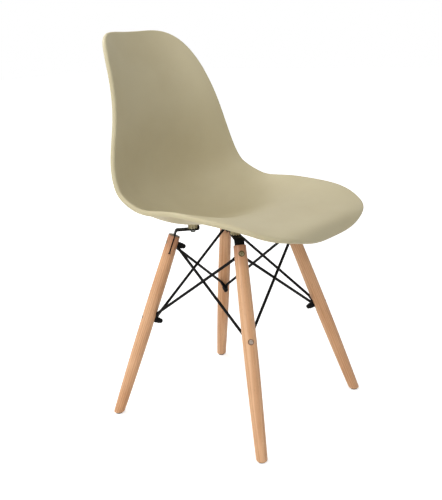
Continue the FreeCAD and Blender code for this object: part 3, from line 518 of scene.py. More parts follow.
def wall_depth(across, along):
    """Wall thickness, which grows smoothly towards the rim."""
    ramp = (outline_share(across, 2 * along - 1) - 1 + RIM_BLEND) / RIM_BLEND
    return WALL + (RIM_THICKNESS - WALL) * smooth_step(np.clip(ramp, 0, 1))


# %% Lay the two sheets and the rim
SHEET_ACROSS, SHEET_ALONG, RIM_STEPS = 88, 152, 10
TINY = 1e-9


def even_sheet():
    """Shares across and along of a sheet of squares, whose outer loop is the outline."""
    s, t = np.meshgrid(np.linspace(-1, 1, SHEET_ACROSS + 1),
                       np.linspace(-1, 1, SHEET_ALONG + 1), indexing="ij")
    reach = np.maximum(outline_share(s, t), TINY)
    pull = np.where(reach > TINY, np.maximum(np.abs(s), np.abs(t)) / reach, 1)
    return s * pull, 0.5 + 0.5 * t * pull


def rim_rings(near, far):
    """Rings of the half round rim between the edges of the two sheets."""
    forward = np.roll(near, -1, 0) - np.roll(near, 1, 0)
    outward = np.cross(forward, near - far)
    outward /= np.linalg.norm(outward, axis=1, keepdims=True)
    return [(near + far) / 2 + (near - far) / 2 * math.cos(turn)
            + outward * RIM_BULGE * math.sin(turn)
            for turn in [math.pi * m / RIM_STEPS for m in range(1, RIM_STEPS)]]


def shell_mesh():
    """Points and faces of the whole wall."""
    across, along = even_sheet()
    inner = sitter_side(across, along)
    outer = inner - sitter_normal(across, along) * wall_depth(across, along)[..., None]
    inner, outer = inner.reshape(-1, 3), outer.reshape(-1, 3)
    total = across.size
    number = np.arange(total).reshape(across.shape)
    squares = np.stack([number[:-1, :-1], number[1:, :-1], number[1:, 1:], number[:-1, 1:]],
                       -1).reshape(-1, 4)
    edge = np.concatenate([number[:-1, 0], number[-1, :-1], number[:0:-1, -1], number[0, :0:-1]])
    rings = rim_rings(inner[edge], outer[edge])
    loops = [2 * total + m * len(edge) + np.arange(len(edge)) for m in range(len(rings))]
    loops = [edge] + loops + [edge + total]
    faces = [squares, squares[:, ::-1] + total]
    for a, b in zip(loops, loops[1:]):
        faces.append(np.stack([a, np.roll(a, -1), np.roll(b, -1), b], -1))
    return np.concatenate([inner, outer] + rings) * MM, np.concatenate(faces)


shell = new_piece("shell", *shell_mesh(), corner_angle=60)
print("shell wall:", len(shell.data.polygons), "squares")

# %% [markdown]
# ## Geometry Nodes for what repeats
# Every corner of the base has the same fittings, and every side has the same pair of braces.
# A Geometry Nodes tree makes such things once and copies them by rule, so one change of a size
# changes all of them.  The corners come in as bare points that carry their turn as an
# attribute.  Each tree ends by making its copies real and giving them their finish.


# %% Geometry Nodes tools
def point_cloud(name, matrices, edges=()):
    """Bare points, or an edge path, whose turn is an attribute."""
    mesh = bpy.data.meshes.new(name)
    mesh.from_pydata([m.translation[:] for m in matrices], list(edges), [])
    turns = mesh.attributes.new("turn", "FLOAT_VECTOR", "POINT")
    turns.data.foreach_set("vector", [v for m in matrices for v in m.to_euler("XYZ")])
    return in_scene(name, mesh)


def new_tree(name, *inputs):
    """Geometry Nodes tree that takes geometry, its own inputs and a finish."""
    return new_group(name, "GeometryNodeTree",
                     [("Geometry", "Geometry"), *inputs, ("Finish", "Material")],
                     [("Geometry", "Geometry")])


def finish_tree(tree, inside, outside, geometry):
    """Every tree ends in Realize Instances and Set Material."""
    real = node(tree, "GeometryNodeRealizeInstances", Geometry=geometry)
    done = node(tree, "GeometryNodeSetMaterial", Geometry=real.outputs[0],
                Material=inside.outputs["Finish"])
    feed(tree, outside, Geometry=done.outputs[0])
    print("tree %s: %d nodes" % (tree.name, len(tree.nodes)))


def run_tree(piece, tree, **inputs):
    """Runs a Geometry Nodes tree on a piece and keeps the result as a plain mesh."""
    modifier = piece.modifiers.new(tree.name, "NODES")
    modifier.node_group = tree
    for item in tree.interface.items_tree:
        key = item.name.replace(" ", "_")
        if item.in_out == "INPUT" and key in inputs:
            modifier[item.identifier] = inputs[key]
    return baked(piece)


def named_value(tree, name, kind="FLOAT"):
    """Reads an attribute of the points."""
    made = node(tree, "GeometryNodeInputNamedAttribute", {"data_type": kind}, Name=name)
    return [s for s in made.outputs if s.enabled and s.name == "Attribute"][0]


def where_marked(tree, name):
    """Selection of the points that carry a mark."""
    return node(tree, "FunctionNodeCompare", {"data_type": "FLOAT", "operation": "GREATER_THAN"},
                i0=named_value(tree, name), i1=0.5).outputs[0]


def mesh_of(tree, thing):
    """Mesh of an object that is an input of the tree."""
    return node(tree, "GeometryNodeObjectInfo", {"transform_space": "ORIGINAL"},
                Object=thing).outputs["Geometry"]


def together(tree, *parts):
    """Several meshes or copies as one geometry."""
    made = tree.nodes.new("GeometryNodeJoinGeometry")
    for part in parts:
        feed(tree, made, i0=part)
    return made.outputs[0]


def copies(tree, points, thing, selection=True):
    """Copies of a mesh on points, turned by the points' attribute."""
    turn = node(tree, "FunctionNodeEulerToRotation",
                Euler=named_value(tree, "turn", "FLOAT_VECTOR"))
    return node(tree, "GeometryNodeInstanceOnPoints", Points=points, Selection=selection,
                Instance=thing, Rotation=turn.outputs[0]).outputs[0]


# %% Tree: a fitting on every corner
corner_fittings, inside, outside = new_tree("corner_fittings", ("Fitting", "Object"))
finish_tree(corner_fittings, inside, outside,
            copies(corner_fittings, inside.outputs["Geometry"],
                   mesh_of(corner_fittings, inside.outputs["Fitting"])))


def fit_on_corners(name, fitting, matrices, finish, slot, *nodes):
    """One piece that holds a copy of a fitting at each place."""
    piece = run_tree(point_cloud(name, matrices), corner_fittings, Fitting=fitting, Finish=finish)
    bpy.data.objects.remove(fitting)
    hand_over(piece, finish, slot, *nodes)


# %% [markdown]
# ## Ribbed bosses under the seat
# Four short posts are moulded under the pan for the screws.  Moulders keep them hollow and
# stiffen them with thin ribs, because a thick lump of plastic would sink as it cools.  The tree
# turns one rib round a core, puts the result on the four places, and then lets the top of each
# boss rise until a ray meets the underside of the shell.

# %% Boss sizes
SCREW_RUN = 35 * MM + ARM_RISE * math.tan(SPLAY)
BOSS_CORE, BOSS_RIBS, RIB_THICKNESS, RIB_COUNT = 14 * MM, 20 * MM, 1.6 * MM, 10
BOSS_HEIGHT, BOSS_CHAMFER, BOSS_EMBED = 8.4 * MM, 0.4 * MM, 1.5 * MM
POCKET, POCKET_DEPTH = 9.1 * MM, 8.1 * MM
screw_places = [upright_frame(corner, SCREW_RUN, LEG_TOP + ARM_RISE) for corner in CORNERS]

# %% Tree: ribbed bosses
ribbed_bosses, inside, outside = new_tree(
    "ribbed_bosses", ("Core", "Object"), ("Rib", "Object"), ("Rib Count", "Int", 10),
    ("Shell", "Object"), ("Embed", "Float", 0.0015))
tree = ribbed_bosses
around = node(tree, "GeometryNodePoints", Count=inside.outputs["Rib Count"])
index = node(tree, "GeometryNodeInputIndex")
share = reckoned(tree, "DIVIDE", index.outputs[0], inside.outputs["Rib Count"])
spin = node(tree, "ShaderNodeCombineXYZ", Z=reckoned(tree, "MULTIPLY", share, 2 * math.pi))
ribs = node(tree, "GeometryNodeInstanceOnPoints", Points=around.outputs[0],
            Instance=mesh_of(tree, inside.outputs["Rib"]), Rotation=spin.outputs[0])
one_boss = together(tree, ribs.outputs[0], mesh_of(tree, inside.outputs["Core"]))
real = node(tree, "GeometryNodeRealizeInstances",
            Geometry=copies(tree, inside.outputs["Geometry"], one_boss))
where = node(tree, "GeometryNodeInputPosition")
ray = node(tree, "GeometryNodeRaycast", Target_Geometry=mesh_of(tree, inside.outputs["Shell"]),
           Source_Position=where.outputs[0], Ray_Direction=(0.0, 0.0, 1.0), Ray_Length=0.1)
hit = [s for s in ray.outputs if s.name == "Hit Position"][0]
embed = node(tree, "ShaderNodeCombineXYZ", Z=inside.outputs["Embed"])
raised = node(tree, "ShaderNodeVectorMath", {"operation": "ADD"}, i0=hit, i1=embed.outputs[0])
risen = node(tree, "GeometryNodeSetPosition", Geometry=real.outputs[0],
             Selection=where_marked(tree, "top"), Position=raised.outputs[0])
finish_tree(tree, inside, outside, risen.outputs[0])


# %% Make the bosses and join them to the shell
def mark_top(piece):
    """Marks the points at the top of a boss, which will rise to the shell."""
    level = BOSS_HEIGHT - 0.1 * MM
    return marked(piece, "top", [v.co.z > level for v in piece.data.vertices])


core_side = BOSS_CORE / 2
boss_core = mark_top(turned_piece("boss_core", [
    (0, POCKET_DEPTH), (POCKET / 2, POCKET_DEPTH), (POCKET / 2, 0),
    (core_side - BOSS_CHAMFER, 0), (core_side, BOSS_CHAMFER), (core_side, BOSS_HEIGHT),
    (0, BOSS_HEIGHT)]))
rib_in, rib_out, rib_side = core_side - MM, BOSS_RIBS / 2, RIB_THICKNESS / 2
rib_box = [(x, y, z) for z in (0, BOSS_HEIGHT) for x, y in (
    (rib_in, -rib_side), (rib_out, -rib_side), (rib_out, rib_side), (rib_in, rib_side))]
boss_rib = mark_top(new_piece("boss_rib", rib_box, [
    (0, 1, 2, 3), (4, 5, 6, 7), (0, 1, 5, 4), (1, 2, 6, 5), (2, 3, 7, 6), (3, 0, 4, 7)]))
bosses = run_tree(point_cloud("bosses", screw_places), ribbed_bosses, Core=boss_core,
                  Rib=boss_rib, Rib_Count=RIB_COUNT, Shell=shell, Embed=BOSS_EMBED,
                  Finish=shell_plastic)
whole = bmesh.new()
whole.from_mesh(shell.data)
whole.from_mesh(bosses.data)
whole.to_mesh(shell.data)
whole.free()
for spare in (boss_core, boss_rib, bosses):
    bpy.data.objects.remove(spare)
hand_over(shell, shell_plastic, "shell_plastic", "seat_shell")

# %% [markdown]
# ## Beech legs
# The legs are turned from beech: pale, warm, with straight fine grain along the leg and the
# short dark flecks that mark this wood.  The grain has to run along each leg, so each leg's
# material first turns the object's coordinates into the leg's own frame.  The grain itself is
# one shared group: growth rings stretched along z, flecks, and a slow change of tone.  The
# sawn top is grey-brown: partly the end grain's own tone, partly painted shade under the seat.
# The last few centimetres below the seat are darker: a painted shadow of the seat on the legs.


# %% Beech grain
def drawn_out(tree, place, share):
    """Place for a pattern that is drawn out along z: the smaller the share, the longer."""
    return node(tree, "ShaderNodeMapping", Vector=place, Scale=(1.0, 1.0, share)).outputs[0]


def beech_group():
    """Colour, gloss and bump of beech, with the grain along z."""
    group, inside, outside = new_group(
        "beech_grain", "ShaderNodeTree",
        [("Vector", "Vector"), ("Pale", "Color", (0.8, 0.6, 0.4, 1)),
         ("Warm", "Color", (0.7, 0.5, 0.3, 1)), ("Fleck", "Color", (0.4, 0.25, 0.14, 1)),
         ("Seed", "Float", 0.0)],
        [("Color", "Color"), ("Roughness", "Float"), ("Normal", "Vector")])
    seed = inside.outputs["Seed"]
    shift = node(group, "ShaderNodeCombineXYZ", X=seed, Y=seed, Z=seed)
    place = node(group, "ShaderNodeVectorMath", {"operation": "ADD"},
                 i0=inside.outputs["Vector"], i1=shift.outputs[0]).outputs[0]
    long_way = drawn_out(group, place, 0.05)
    rings = node(group, "ShaderNodeTexWave", {"wave_type": "BANDS", "bands_direction": "X"},
                 Vector=long_way, Scale=75.0, Distortion=5.0, Detail=3.0, Detail_Scale=1.4)
    drift = reckoned(group, "MULTIPLY", noise(group, long_way, 60.0, 2.0), 0.55)
    banded = reckoned(group, "MULTIPLY_ADD", rings.outputs["Fac"], 0.45, drift)
    fibres = noise(group, drawn_out(group, place, 0.02), 900.0, 3.0)
    thread = ranged(group, fibres, 0.3, 0.7, to_low=-0.16, to_high=0.16)
    slow = ranged(group, noise(group, place, 7.0, 2.0), 0.35, 0.65, to_low=-0.22, to_high=0.22)
    tone = reckoned(group, "ADD", reckoned(group, "ADD", banded, thread), slow, clamp=True)
    wood = mixed(group, tone, inside.outputs["Pale"], inside.outputs["Warm"])
    flecks = noise(group, drawn_out(group, place, 0.11), 1300.0, 1.0)
    fleck_mask = ranged(group, flecks, 0.66, 0.76, to_high=0.5)
    bump = node(group, "ShaderNodeBump", Height=fibres, Distance=0.00006, Strength=0.35)
    feed(group, outside, Color=mixed(group, fleck_mask, wood, inside.outputs["Fleck"]),
         Roughness=ranged(group, tone, to_low=0.42, to_high=0.56), Normal=bump.outputs["Normal"])
    return group


beech_grain = beech_group()
PALE, WARM, FLECK = linear(245, 195, 150), linear(210, 153, 108), linear(156, 104, 72)
# The sawn top's dark tone: partly the end grain's own, partly painted shade under the seat.
END_GRAIN_AND_SHADE = linear(128, 108, 82)
SAWN_FROM, SAWN_TO = -0.8 * MM, -0.1 * MM       # heights in the leg's frame
# Painted shadow of the seat: this tone multiplies the wood over the top few centimetres of each
# leg.
SEAT_SHADOW_TONE = (0.62, 0.53, 0.56, 1)
SHADE_FROM, SHADE_TO = -60 * MM, 6 * MM


def beech_finish(corner, seed):
    """Beech whose grain runs along one leg, with a painted shadow of the seat towards its top."""
    material, tree, shader, place = new_finish(
        "beech_" + corner, Coat_Weight=0.12, Coat_Roughness=0.3, Specular_IOR_Level=0.4)
    stands = leg_frame(corner)
    own = node(tree, "ShaderNodeMapping", {"vector_type": "TEXTURE"}, Vector=place,
               Location=stands.translation, Rotation=stands.to_euler("XYZ")).outputs[0]
    grain = placed_group(tree, beech_grain, Vector=own, Pale=PALE, Warm=WARM, Fleck=FLECK,
                         Seed=seed)
    height = node(tree, "ShaderNodeSeparateXYZ", Vector=own).outputs["Z"]
    # Painted shadow of the seat, strongest at the leg's top.
    shade = ranged(tree, height, SHADE_FROM, SHADE_TO, smooth=True)
    seat_shadowed = mixed(tree, shade, grain.outputs["Color"], SEAT_SHADOW_TONE, "MULTIPLY")
    # The sawn top takes the end grain colour, which also carries painted shade.
    sawn = ranged(tree, height, SAWN_FROM, SAWN_TO, smooth=True)
    feed(tree, shader, Base_Color=mixed(tree, sawn, seat_shadowed, END_GRAIN_AND_SHADE),
         Roughness=grain.outputs["Roughness"], Normal=grain.outputs["Normal"])
    return material


# %% [markdown]
# ## Turning and cutting a leg
# A leg is a lathe job: it swells a little half way down and narrows to the foot, which is
# sawn level with the floor.  The slot for the bracket, the sunk seats for the bolt heads and
# the flats for the wire eyes are then cut with one boolean, as the real ones are milled.

# %% Leg sizes
LEG_TOP_R, LEG_BELLY_R, LEG_FOOT_R = 12.5 * MM, 14.25 * MM, 11.25 * MM
UPPER_BOLT, LOWER_BOLT = 17.7 * MM, 191.4 * MM      # down the leg from its top
SLOT_WIDTH, SLOT_DEPTH, SLOT_END = 3.2 * MM, 38 * MM, 5 * MM
SLOT_NECK = 1.9 * MM        # from the middle of the slot's round end up to its straight sides
HEAD_RECESS, HEAD_SINK, SEAT_FLAT, SEAT_DEPTH = 12.4 * MM, 3.4 * MM, 33 * MM, 0.8 * MM
CLEAR = 10 * MM             # how far a cutter stands out of the wood


def leg_radius(down):
    """Radius of the leg at a distance down its axis."""
    s = down / LEG_LENGTH
    return (LEG_TOP_R * (1 - s) * (1 - 2 * s) + LEG_BELLY_R * 4 * s * (1 - s)
            + LEG_FOOT_R * s * (2 * s - 1))


def slot_outline():
    """Slot with a round end, seen along y, open at the top of the leg."""
    side, top, neck = SLOT_WIDTH / 2, 2 * MM, -SLOT_DEPTH + SLOT_NECK
    turns = [math.radians(140 + k * 260 / 12) for k in range(13)]
    end = [(SLOT_END / 2 * math.cos(a), -SLOT_DEPTH + SLOT_END / 2 * math.sin(a)) for a in turns]
    return [(-side, top), (-side, neck)] + end + [(side, neck), (side, top)]


def leg_cutters():
    """Slot, head recesses and seat flats, as one cutting object in the leg's frame."""
    cutter = bmesh.new()
    face = cutter.faces.new([cutter.verts.new((x, -2 * CLEAR, z)) for x, z in slot_outline()])
    pushed = bmesh.ops.extrude_face_region(cutter, geom=[face])["geom"]
    pushed = [v for v in pushed if isinstance(v, bmesh.types.BMVert)]
    bmesh.ops.translate(cutter, vec=(0, 4 * CLEAR, 0), verts=pushed)
    for down in (UPPER_BOLT, LOWER_BOLT):
        radius = leg_radius(down)
        for low, high, wide in ((radius - HEAD_SINK, radius + CLEAR, HEAD_RECESS),
                                (-radius - CLEAR, -radius + SEAT_DEPTH, SEAT_FLAT)):
            place = Matrix.Translation(((low + high) / 2, 0, -down))
            bmesh.ops.create_cone(cutter, cap_ends=True, segments=40, radius1=wide / 2,
                                  radius2=wide / 2, depth=high - low,
                                  matrix=place @ Matrix.Rotation(math.pi / 2, 4, "Y"))
    bmesh.ops.recalc_face_normals(cutter, faces=cutter.faces)
    mesh = bpy.data.meshes.new("leg_cutter")
    cutter.to_mesh(mesh)
    cutter.free()
    return in_scene("leg_cutter", mesh)


# %% Make the four legs
foot_line = LEG_LENGTH - GLIDE_THICKNESS / math.cos(SPLAY)
foot_radius = leg_radius(foot_line)
downs = [0.8 * MM] + [d * MM for d in range(6, 66, 6)] + [d * MM for d in range(72, 400, 12)]
leg_rows = [(0, 0), (LEG_TOP_R - 0.8 * MM, 0), (LEG_TOP_R - 0.2 * MM, -0.25 * MM)]
leg_rows += [(leg_radius(d), -d) for d in downs]
leg_rows += [(foot_radius, -foot_line + 1.9 * MM, "level"),
             (foot_radius - 0.6 * MM, -foot_line + 0.6 * MM, "level"),
             (foot_radius - 1.9 * MM, -foot_line, "level"), (0, -foot_line)]
cutter = leg_cutters()
for i, corner in enumerate(CORNERS):
    leg = turned_piece("turned_leg_" + corner, leg_rows, steps=72, tilt=SPLAY)
    saw = leg.modifiers.new("cuts", "BOOLEAN")
    saw.operation, saw.object, saw.solver = "DIFFERENCE", cutter, "EXACT"
    baked(leg)
    smooth_corners(leg.data, 30)
    placed(leg, leg_frame(corner))
    hand_over(leg, beech_finish(corner, seed=0.37 * (1 + i)), "beech", "leg_" + corner)
bpy.data.objects.remove(cutter)

# %% [markdown]
# ## Black steel and the other metals
# Braces and brackets are powder coated: black, matt, with a slight orange-peel skin and a
# little bare grey where edges rub.  Bolt heads are oiled steel, with painted recess shade on
# their rim; the upper ones, under the seat, are a darker copy as painted shade.  Metal gets its
# look from what it mirrors, so roughness does most of the work.

# %% Metals
black_steel, tree, shader, place = new_finish("black_steel", Specular_IOR_Level=0.12)
skin = placed_group(tree, fine_skin, Vector=place, Grain_Size=2600.0, Depth=0.00005, Strength=0.3)
worn = placed_group(tree, worn_edge, Vector=place, Sharpness=5.0, Breakup=0.7)
coat = mixed(tree, worn.outputs["Mask"], linear(9, 9, 10), linear(50, 48, 46))
dress(tree, shader, coat, skin, skin.outputs["Grain"], 0.5, 0.66)
RECESS_SHADE_FROM, RECESS_SHADE_TO = 0.66, 0.9        # shares of a bolt head's radius


def metal_finish(name, bright, dull, rough_low, rough_high, recess_shade=None):
    """Bare metal whose tone and roughness drift between two states.  A painted recess shade
    darkens its rim.
    """
    material, tree, shader, place = new_finish(name, Metallic=1.0)
    tone = placed_group(tree, drifting_tone, Vector=place, Scale=260.0, Light=bright, Dark=dull)
    skin = placed_group(tree, fine_skin, Vector=place, Grain_Size=900.0, Depth=0.00002,
                        Strength=0.25)
    colour = tone.outputs["Color"]
    if recess_shade:
        # Painted shade of the wood recess round the head, laid on the head's rim.
        reach = node(tree, "ShaderNodeAttribute", {"attribute_name": "reach"})
        rim = ranged(tree, reach.outputs["Fac"], RECESS_SHADE_FROM, RECESS_SHADE_TO, smooth=True)
        colour = mixed(tree, rim, colour, recess_shade)
    dress(tree, shader, colour, skin, tone.outputs["Drift"], rough_high, rough_low)
    return material


# The upper bolts sit close under the seat, so their steel is a darker, olive copy of the lower
# bolts' steel: painted shade.  Both rim colours are painted recess shade.
seat_shaded_steel = metal_finish("upper_bolt_steel", linear(160, 150, 118), linear(112, 106, 76),
                           0.3, 0.5, recess_shade=linear(78, 62, 38))
lower_steel = metal_finish("lower_bolt_steel", linear(178, 164, 152), linear(138, 124, 110),
                           0.3, 0.5, recess_shade=linear(112, 76, 54))
screw_steel = metal_finish("screw_steel", linear(84, 90, 84), linear(56, 58, 52), 0.35, 0.5)
zinc_steel = metal_finish("zinc_steel", linear(205, 206, 204), linear(176, 178, 178), 0.28, 0.42)
brass = metal_finish("brass", linear(214, 178, 104), linear(188, 148, 80), 0.25, 0.4)
print("metals:", [m.name for m in (black_steel, seat_shaded_steel, lower_steel, screw_steel,
                                   zinc_steel, brass)])

# %% [markdown]
# ## Brackets
# Each bracket is one strip of flat steel: it stands in the leg's slot, bends level over the
# leg, runs under the seat and turns up a little at its end.  A strip that follows a path is
# exactly what Curve to Mesh makes.  The tree rounds the path's corners, holds the strip's flat
# side with a free curve normal, and sweeps a rectangle with rounded edges along it.


# %% Tree: bent strip
def as_path(tree, edges):
    """Edges as a curve."""
    return node(tree, "GeometryNodeMeshToCurve", Mesh=edges).outputs[0]


def rounded(tree, curve, radius, count=8):
    """Curve whose corners are rounded."""
    return node(tree, "GeometryNodeFilletCurve", {"mode": "POLY"}, Curve=curve, Count=count,
                Radius=radius).outputs[0]


def swept(tree, path, section):
    """Closed solid that a section sweeps along a path."""
    return node(tree, "GeometryNodeCurveToMesh", Curve=path, Profile_Curve=section,
                Fill_Caps=True).outputs[0]


bent_strip, inside, outside = new_tree(
    "bent_strip", ("Width", "Float", 0.02), ("Thickness", "Float", 0.003),
    ("Edge Radius", "Float", 0.0005))
tree = bent_strip
line = rounded(tree, as_path(tree, inside.outputs["Geometry"]), named_value(tree, "bend"))
held = node(tree, "GeometryNodeSetCurveNormal", {"mode": "FREE"}, Curve=line,
            Normal=named_value(tree, "side", "FLOAT_VECTOR"))
section = node(tree, "GeometryNodeCurvePrimitiveQuadrilateral", Width=inside.outputs["Width"],
               Height=inside.outputs["Thickness"])
soft = rounded(tree, section.outputs[0], inside.outputs["Edge Radius"], count=3)
finish_tree(tree, inside, outside, swept(tree, held.outputs[0], soft))

# %% Make the four brackets
STRIP, STRIP_WIDTH, STRIP_EDGE, STRIP_TAIL = 3 * MM, 20 * MM, 0.5 * MM, 36.5 * MM
ARM_LENGTH, ARM_LIP = 48.6 * MM, 4.5 * MM
ARM_BEND, LIP_BEND = 4.5 * MM, 3 * MM
arm_middle = ARM_RISE - STRIP / 2
arm_end = -ARM_RISE * math.tan(SPLAY) - ARM_LENGTH + STRIP / 2


def in_leg_plane(outward, height):
    """Place given level and upright from the leg's top, in the leaning frame of the leg."""
    return Vector((outward * math.cos(SPLAY) + height * math.sin(SPLAY), 0,
                   height * math.cos(SPLAY) - outward * math.sin(SPLAY)))


strip_path = [Vector((0, 0, -STRIP_TAIL)), Vector((0, 0, arm_middle / math.cos(SPLAY))),
              in_leg_plane(arm_end, arm_middle), in_leg_plane(arm_end, ARM_RISE + ARM_LIP)]
for corner in CORNERS:
    bracket = point_cloud("bent_bracket_" + corner, [Matrix.Translation(p) for p in strip_path],
                          [(0, 1), (1, 2), (2, 3)])
    marked(bracket, "bend", (0, ARM_BEND, LIP_BEND, 0))
    side = bracket.data.attributes.new("side", "FLOAT_VECTOR", "POINT")
    side.data.foreach_set("vector", [0.0, 1.0, 0.0] * len(strip_path))
    run_tree(bracket, bent_strip, Width=STRIP_WIDTH, Thickness=STRIP, Edge_Radius=STRIP_EDGE,
             Finish=black_steel)
    smooth_corners(bracket.data, 40)
    placed(bracket, leg_frame(corner))
    hand_over(bracket, black_steel, "black_steel", "bracket_" + corner)

# %% [markdown]
# ## Crossed wire braces
# Each brace is a length of 6 mm wire whose ends are pressed flat and punched, so that a bolt
# can hold them.  The round run between two bends is a swept circle.  The pressed end is drawn
# once as a mesh that changes from round to flat and ends in a ring, and the same tree puts it
# on both ends of the wire.

# %% Sizes of a pressed end
WIRE, WIRE_BEND = 6 * MM, 7 * MM
EYE, EYE_HOLE, EYE_THICKNESS, EYE_SOFT = 13 * MM, 6.3 * MM, 3 * MM, 0.45 * MM
TONGUE = 7 * MM             # width of the neck where it is flat
NECK_LAP = 1.2 * MM         # how far the neck runs into the ring and into the wire
NECK_STEPS, NECK_SIDES = 12, 20


# %% Pressed end
def neck_points(setback, flat_share):
    """Rings of the neck, which is flat for a share of its length and then turns round."""
    start, end = EYE / 2 - NECK_LAP, EYE / 2 + setback + NECK_LAP
    for i in range(NECK_STEPS + 1):
        share = i / NECK_STEPS
        blend = smooth_step(max(0.0, (share - flat_share) / (1 - flat_share)))
        wide = TONGUE / 2 + (WIRE / 2 - TONGUE / 2) * blend
        thick = EYE_THICKNESS / 2 + (WIRE / 2 - EYE_THICKNESS / 2) * blend
        power = 2 / (5 - 3 * blend)
        for k in range(NECK_SIDES):
            turn = 2 * math.pi * k / NECK_SIDES
            c, s = math.cos(turn), math.sin(turn)
            yield (math.copysign(abs(c) ** power, c) * thick,
                   math.copysign(abs(s) ** power, s) * wide, start + (end - start) * share)


def pressed_end(name, setback, flat_share):
    """Ring and flattened neck, with the bolt along x and the wire leaving along z."""
    thick, hole, edge = EYE_THICKNESS / 2, EYE_HOLE / 2, EYE / 2
    upper = [(hole, thick - EYE_SOFT / 2), (hole + EYE_SOFT / 2, thick),
             (edge - EYE_SOFT, thick), (edge, thick - EYE_SOFT)]
    lower = [(radius, -height) for radius, height in upper[::-1]]
    points, faces = turned_rings(upper + lower + upper[:1], steps=40)
    points = [(z, x, y) for x, y, z in points]
    first = len(points)
    points += neck_points(setback, flat_share)
    rings = [range(at, at + NECK_SIDES) for at in range(first, len(points), NECK_SIDES)]
    for a, b in zip(rings, rings[1:]):
        for k in range(NECK_SIDES):
            after = (k + 1) % NECK_SIDES
            faces.append((a[k], a[after], b[after], b[k]))
    return new_piece(name, points, faces + [rings[0], rings[-1]])


# %% Tree: wire brace
wire_brace, inside, outside = new_tree(
    "wire_brace", ("Wire Diameter", "Float", 0.006), ("Bend Radius", "Float", 0.007),
    ("Pressed End", "Object"))
tree = wire_brace
line = rounded(tree, as_path(tree, inside.outputs["Geometry"]), inside.outputs["Bend Radius"])
section = node(tree, "GeometryNodeCurvePrimitiveCircle", Resolution=20,
               Radius=reckoned(tree, "DIVIDE", inside.outputs["Wire Diameter"], 2.0))
wire = swept(tree, line, section.outputs[0])
ends = copies(tree, inside.outputs["Geometry"], mesh_of(tree, inside.outputs["Pressed End"]),
              where_marked(tree, "eye"))
finish_tree(tree, inside, outside, together(tree, wire, ends))

# %% Where the braces run
STACK_GAP = 0.05 * MM
SIDES = ("front", "right", "rear", "left")
NEAR, FAR = 0, 1            # layers on a bolt: near lies against the leg, far on top of it
BEND_AT, SETBACK, FLAT_SHARE = (21 * MM, 10.8 * MM), (10.8 * MM, 0.8 * MM), (0.5, 0.0)


def eye_place(corner, down, layer):
    """Middle of an eye on a bolt, in one of the two layers."""
    out = leg_radius(down) - SEAT_DEPTH + (layer + 1) * STACK_GAP + (layer + 0.5) * EYE_THICKNESS
    return leg_frame(corner) @ Vector((-out, 0, -down))


def brace_points(high, low, layer):
    """The two eyes with their turns, then the path of the wire."""
    ends = [(high, eye_place(high, UPPER_BOLT, layer)), (low, eye_place(low, LOWER_BOLT, layer))]
    eyes, starts, bends = [], [], []
    for (corner, centre), (_, other) in (ends, ends[::-1]):
        normal = leg_frame(corner).to_3x3() @ Vector((1, 0, 0))
        towards = other - centre
        along = (towards - normal * towards.dot(normal)).normalized()
        turn = axes_matrix(normal, along.cross(normal), along)
        eyes.append(Matrix.Translation(centre) @ turn)
        starts.append(Matrix.Translation(centre + along * (EYE / 2 + SETBACK[layer])))
        bends.append(Matrix.Translation(centre + along * BEND_AT[layer]))
    return eyes + [starts[0], bends[0], bends[1], starts[1]]


# %% Make the eight braces
corners = list(CORNERS)
pressed = [pressed_end(name, SETBACK[layer], FLAT_SHARE[layer])
           for name, layer in (("eye_near", NEAR), ("eye_far", FAR))]
for i, side in enumerate(SIDES):
    left, right = corners[i], corners[(i + 1) % 4]
    for name, high, low, layer in (("brace_%s_down_left" % side, right, left, NEAR),
                                   ("brace_%s_down_right" % side, left, right, FAR)):
        brace = point_cloud("wire_" + name, brace_points(high, low, layer),
                            [(2, 3), (3, 4), (4, 5)])
        marked(brace, "eye", (1, 1, 0, 0, 0, 0))
        run_tree(brace, wire_brace, Wire_Diameter=WIRE, Bend_Radius=WIRE_BEND,
                 Pressed_End=pressed[layer], Finish=black_steel)
        smooth_corners(brace.data)
        hand_over(brace, black_steel, "black_steel", name)
for spare in pressed:
    bpy.data.objects.remove(spare)

# %% [markdown]
# ## Bolts, nuts, screws and washers
# These are turned forms with a hexagon here and there, drawn once and copied to the four
# corners by the first tree.  Small chamfers matter more than anything else on them, because
# only a broken edge catches the light.

# %% Sizes of bolts and nuts, with radii for what is round
SHANK, SHANK_POINT, THREAD_LENGTH = 3 * MM, 2.4 * MM, 7.5 * MM
HEAD, HEAD_HEIGHT, HEAD_CHAMFER = 6 * MM, 3 * MM, 0.6 * MM
KEY, KEY_DEPTH, KEY_CHAMFER, BURR = 4 * MM, 2 * MM, 0.3 * MM, 0.15 * MM
NUT_BORE, NUT_BORE_DEPTH, NUT_FOOT, NUT_SIDE = 3.05 * MM, 8 * MM, 5 * MM, 5.5 * MM
NUT_SHOULDER, HEX_LOW, HEX_HIGH, HEX_END = 5.25 * MM, 0.35 * MM, 5.2 * MM, 5.5 * MM
DOME, DOME_START, DOME_ROUND, NUT_HEIGHT = 5.2 * MM, 7.4 * MM, 4.6 * MM, 12 * MM


def along_bolt(corner, distance, down):
    """Frame on a bolt: z runs inward, from a distance out of the leg's axis."""
    place = Matrix.Translation((distance, 0, -down))
    return leg_frame(corner) @ place @ Matrix.Rotation(-math.pi / 2, 4, "Y")


def socket_head(radius, height, chamfer):
    """Rows of a round head that ends at z = 0, with a hexagon key socket."""
    return [(0, -height + KEY_DEPTH), (KEY / 2, -height + KEY_DEPTH, "hex"),
            (KEY / 2, -height + KEY_CHAMFER, "hex"), (KEY / 2 + KEY_CHAMFER, -height),
            (radius - chamfer, -height), (radius - 0.3 * chamfer, -height + 0.3 * chamfer),
            (radius, -height + chamfer), (radius, -BURR), (radius - BURR, 0)]


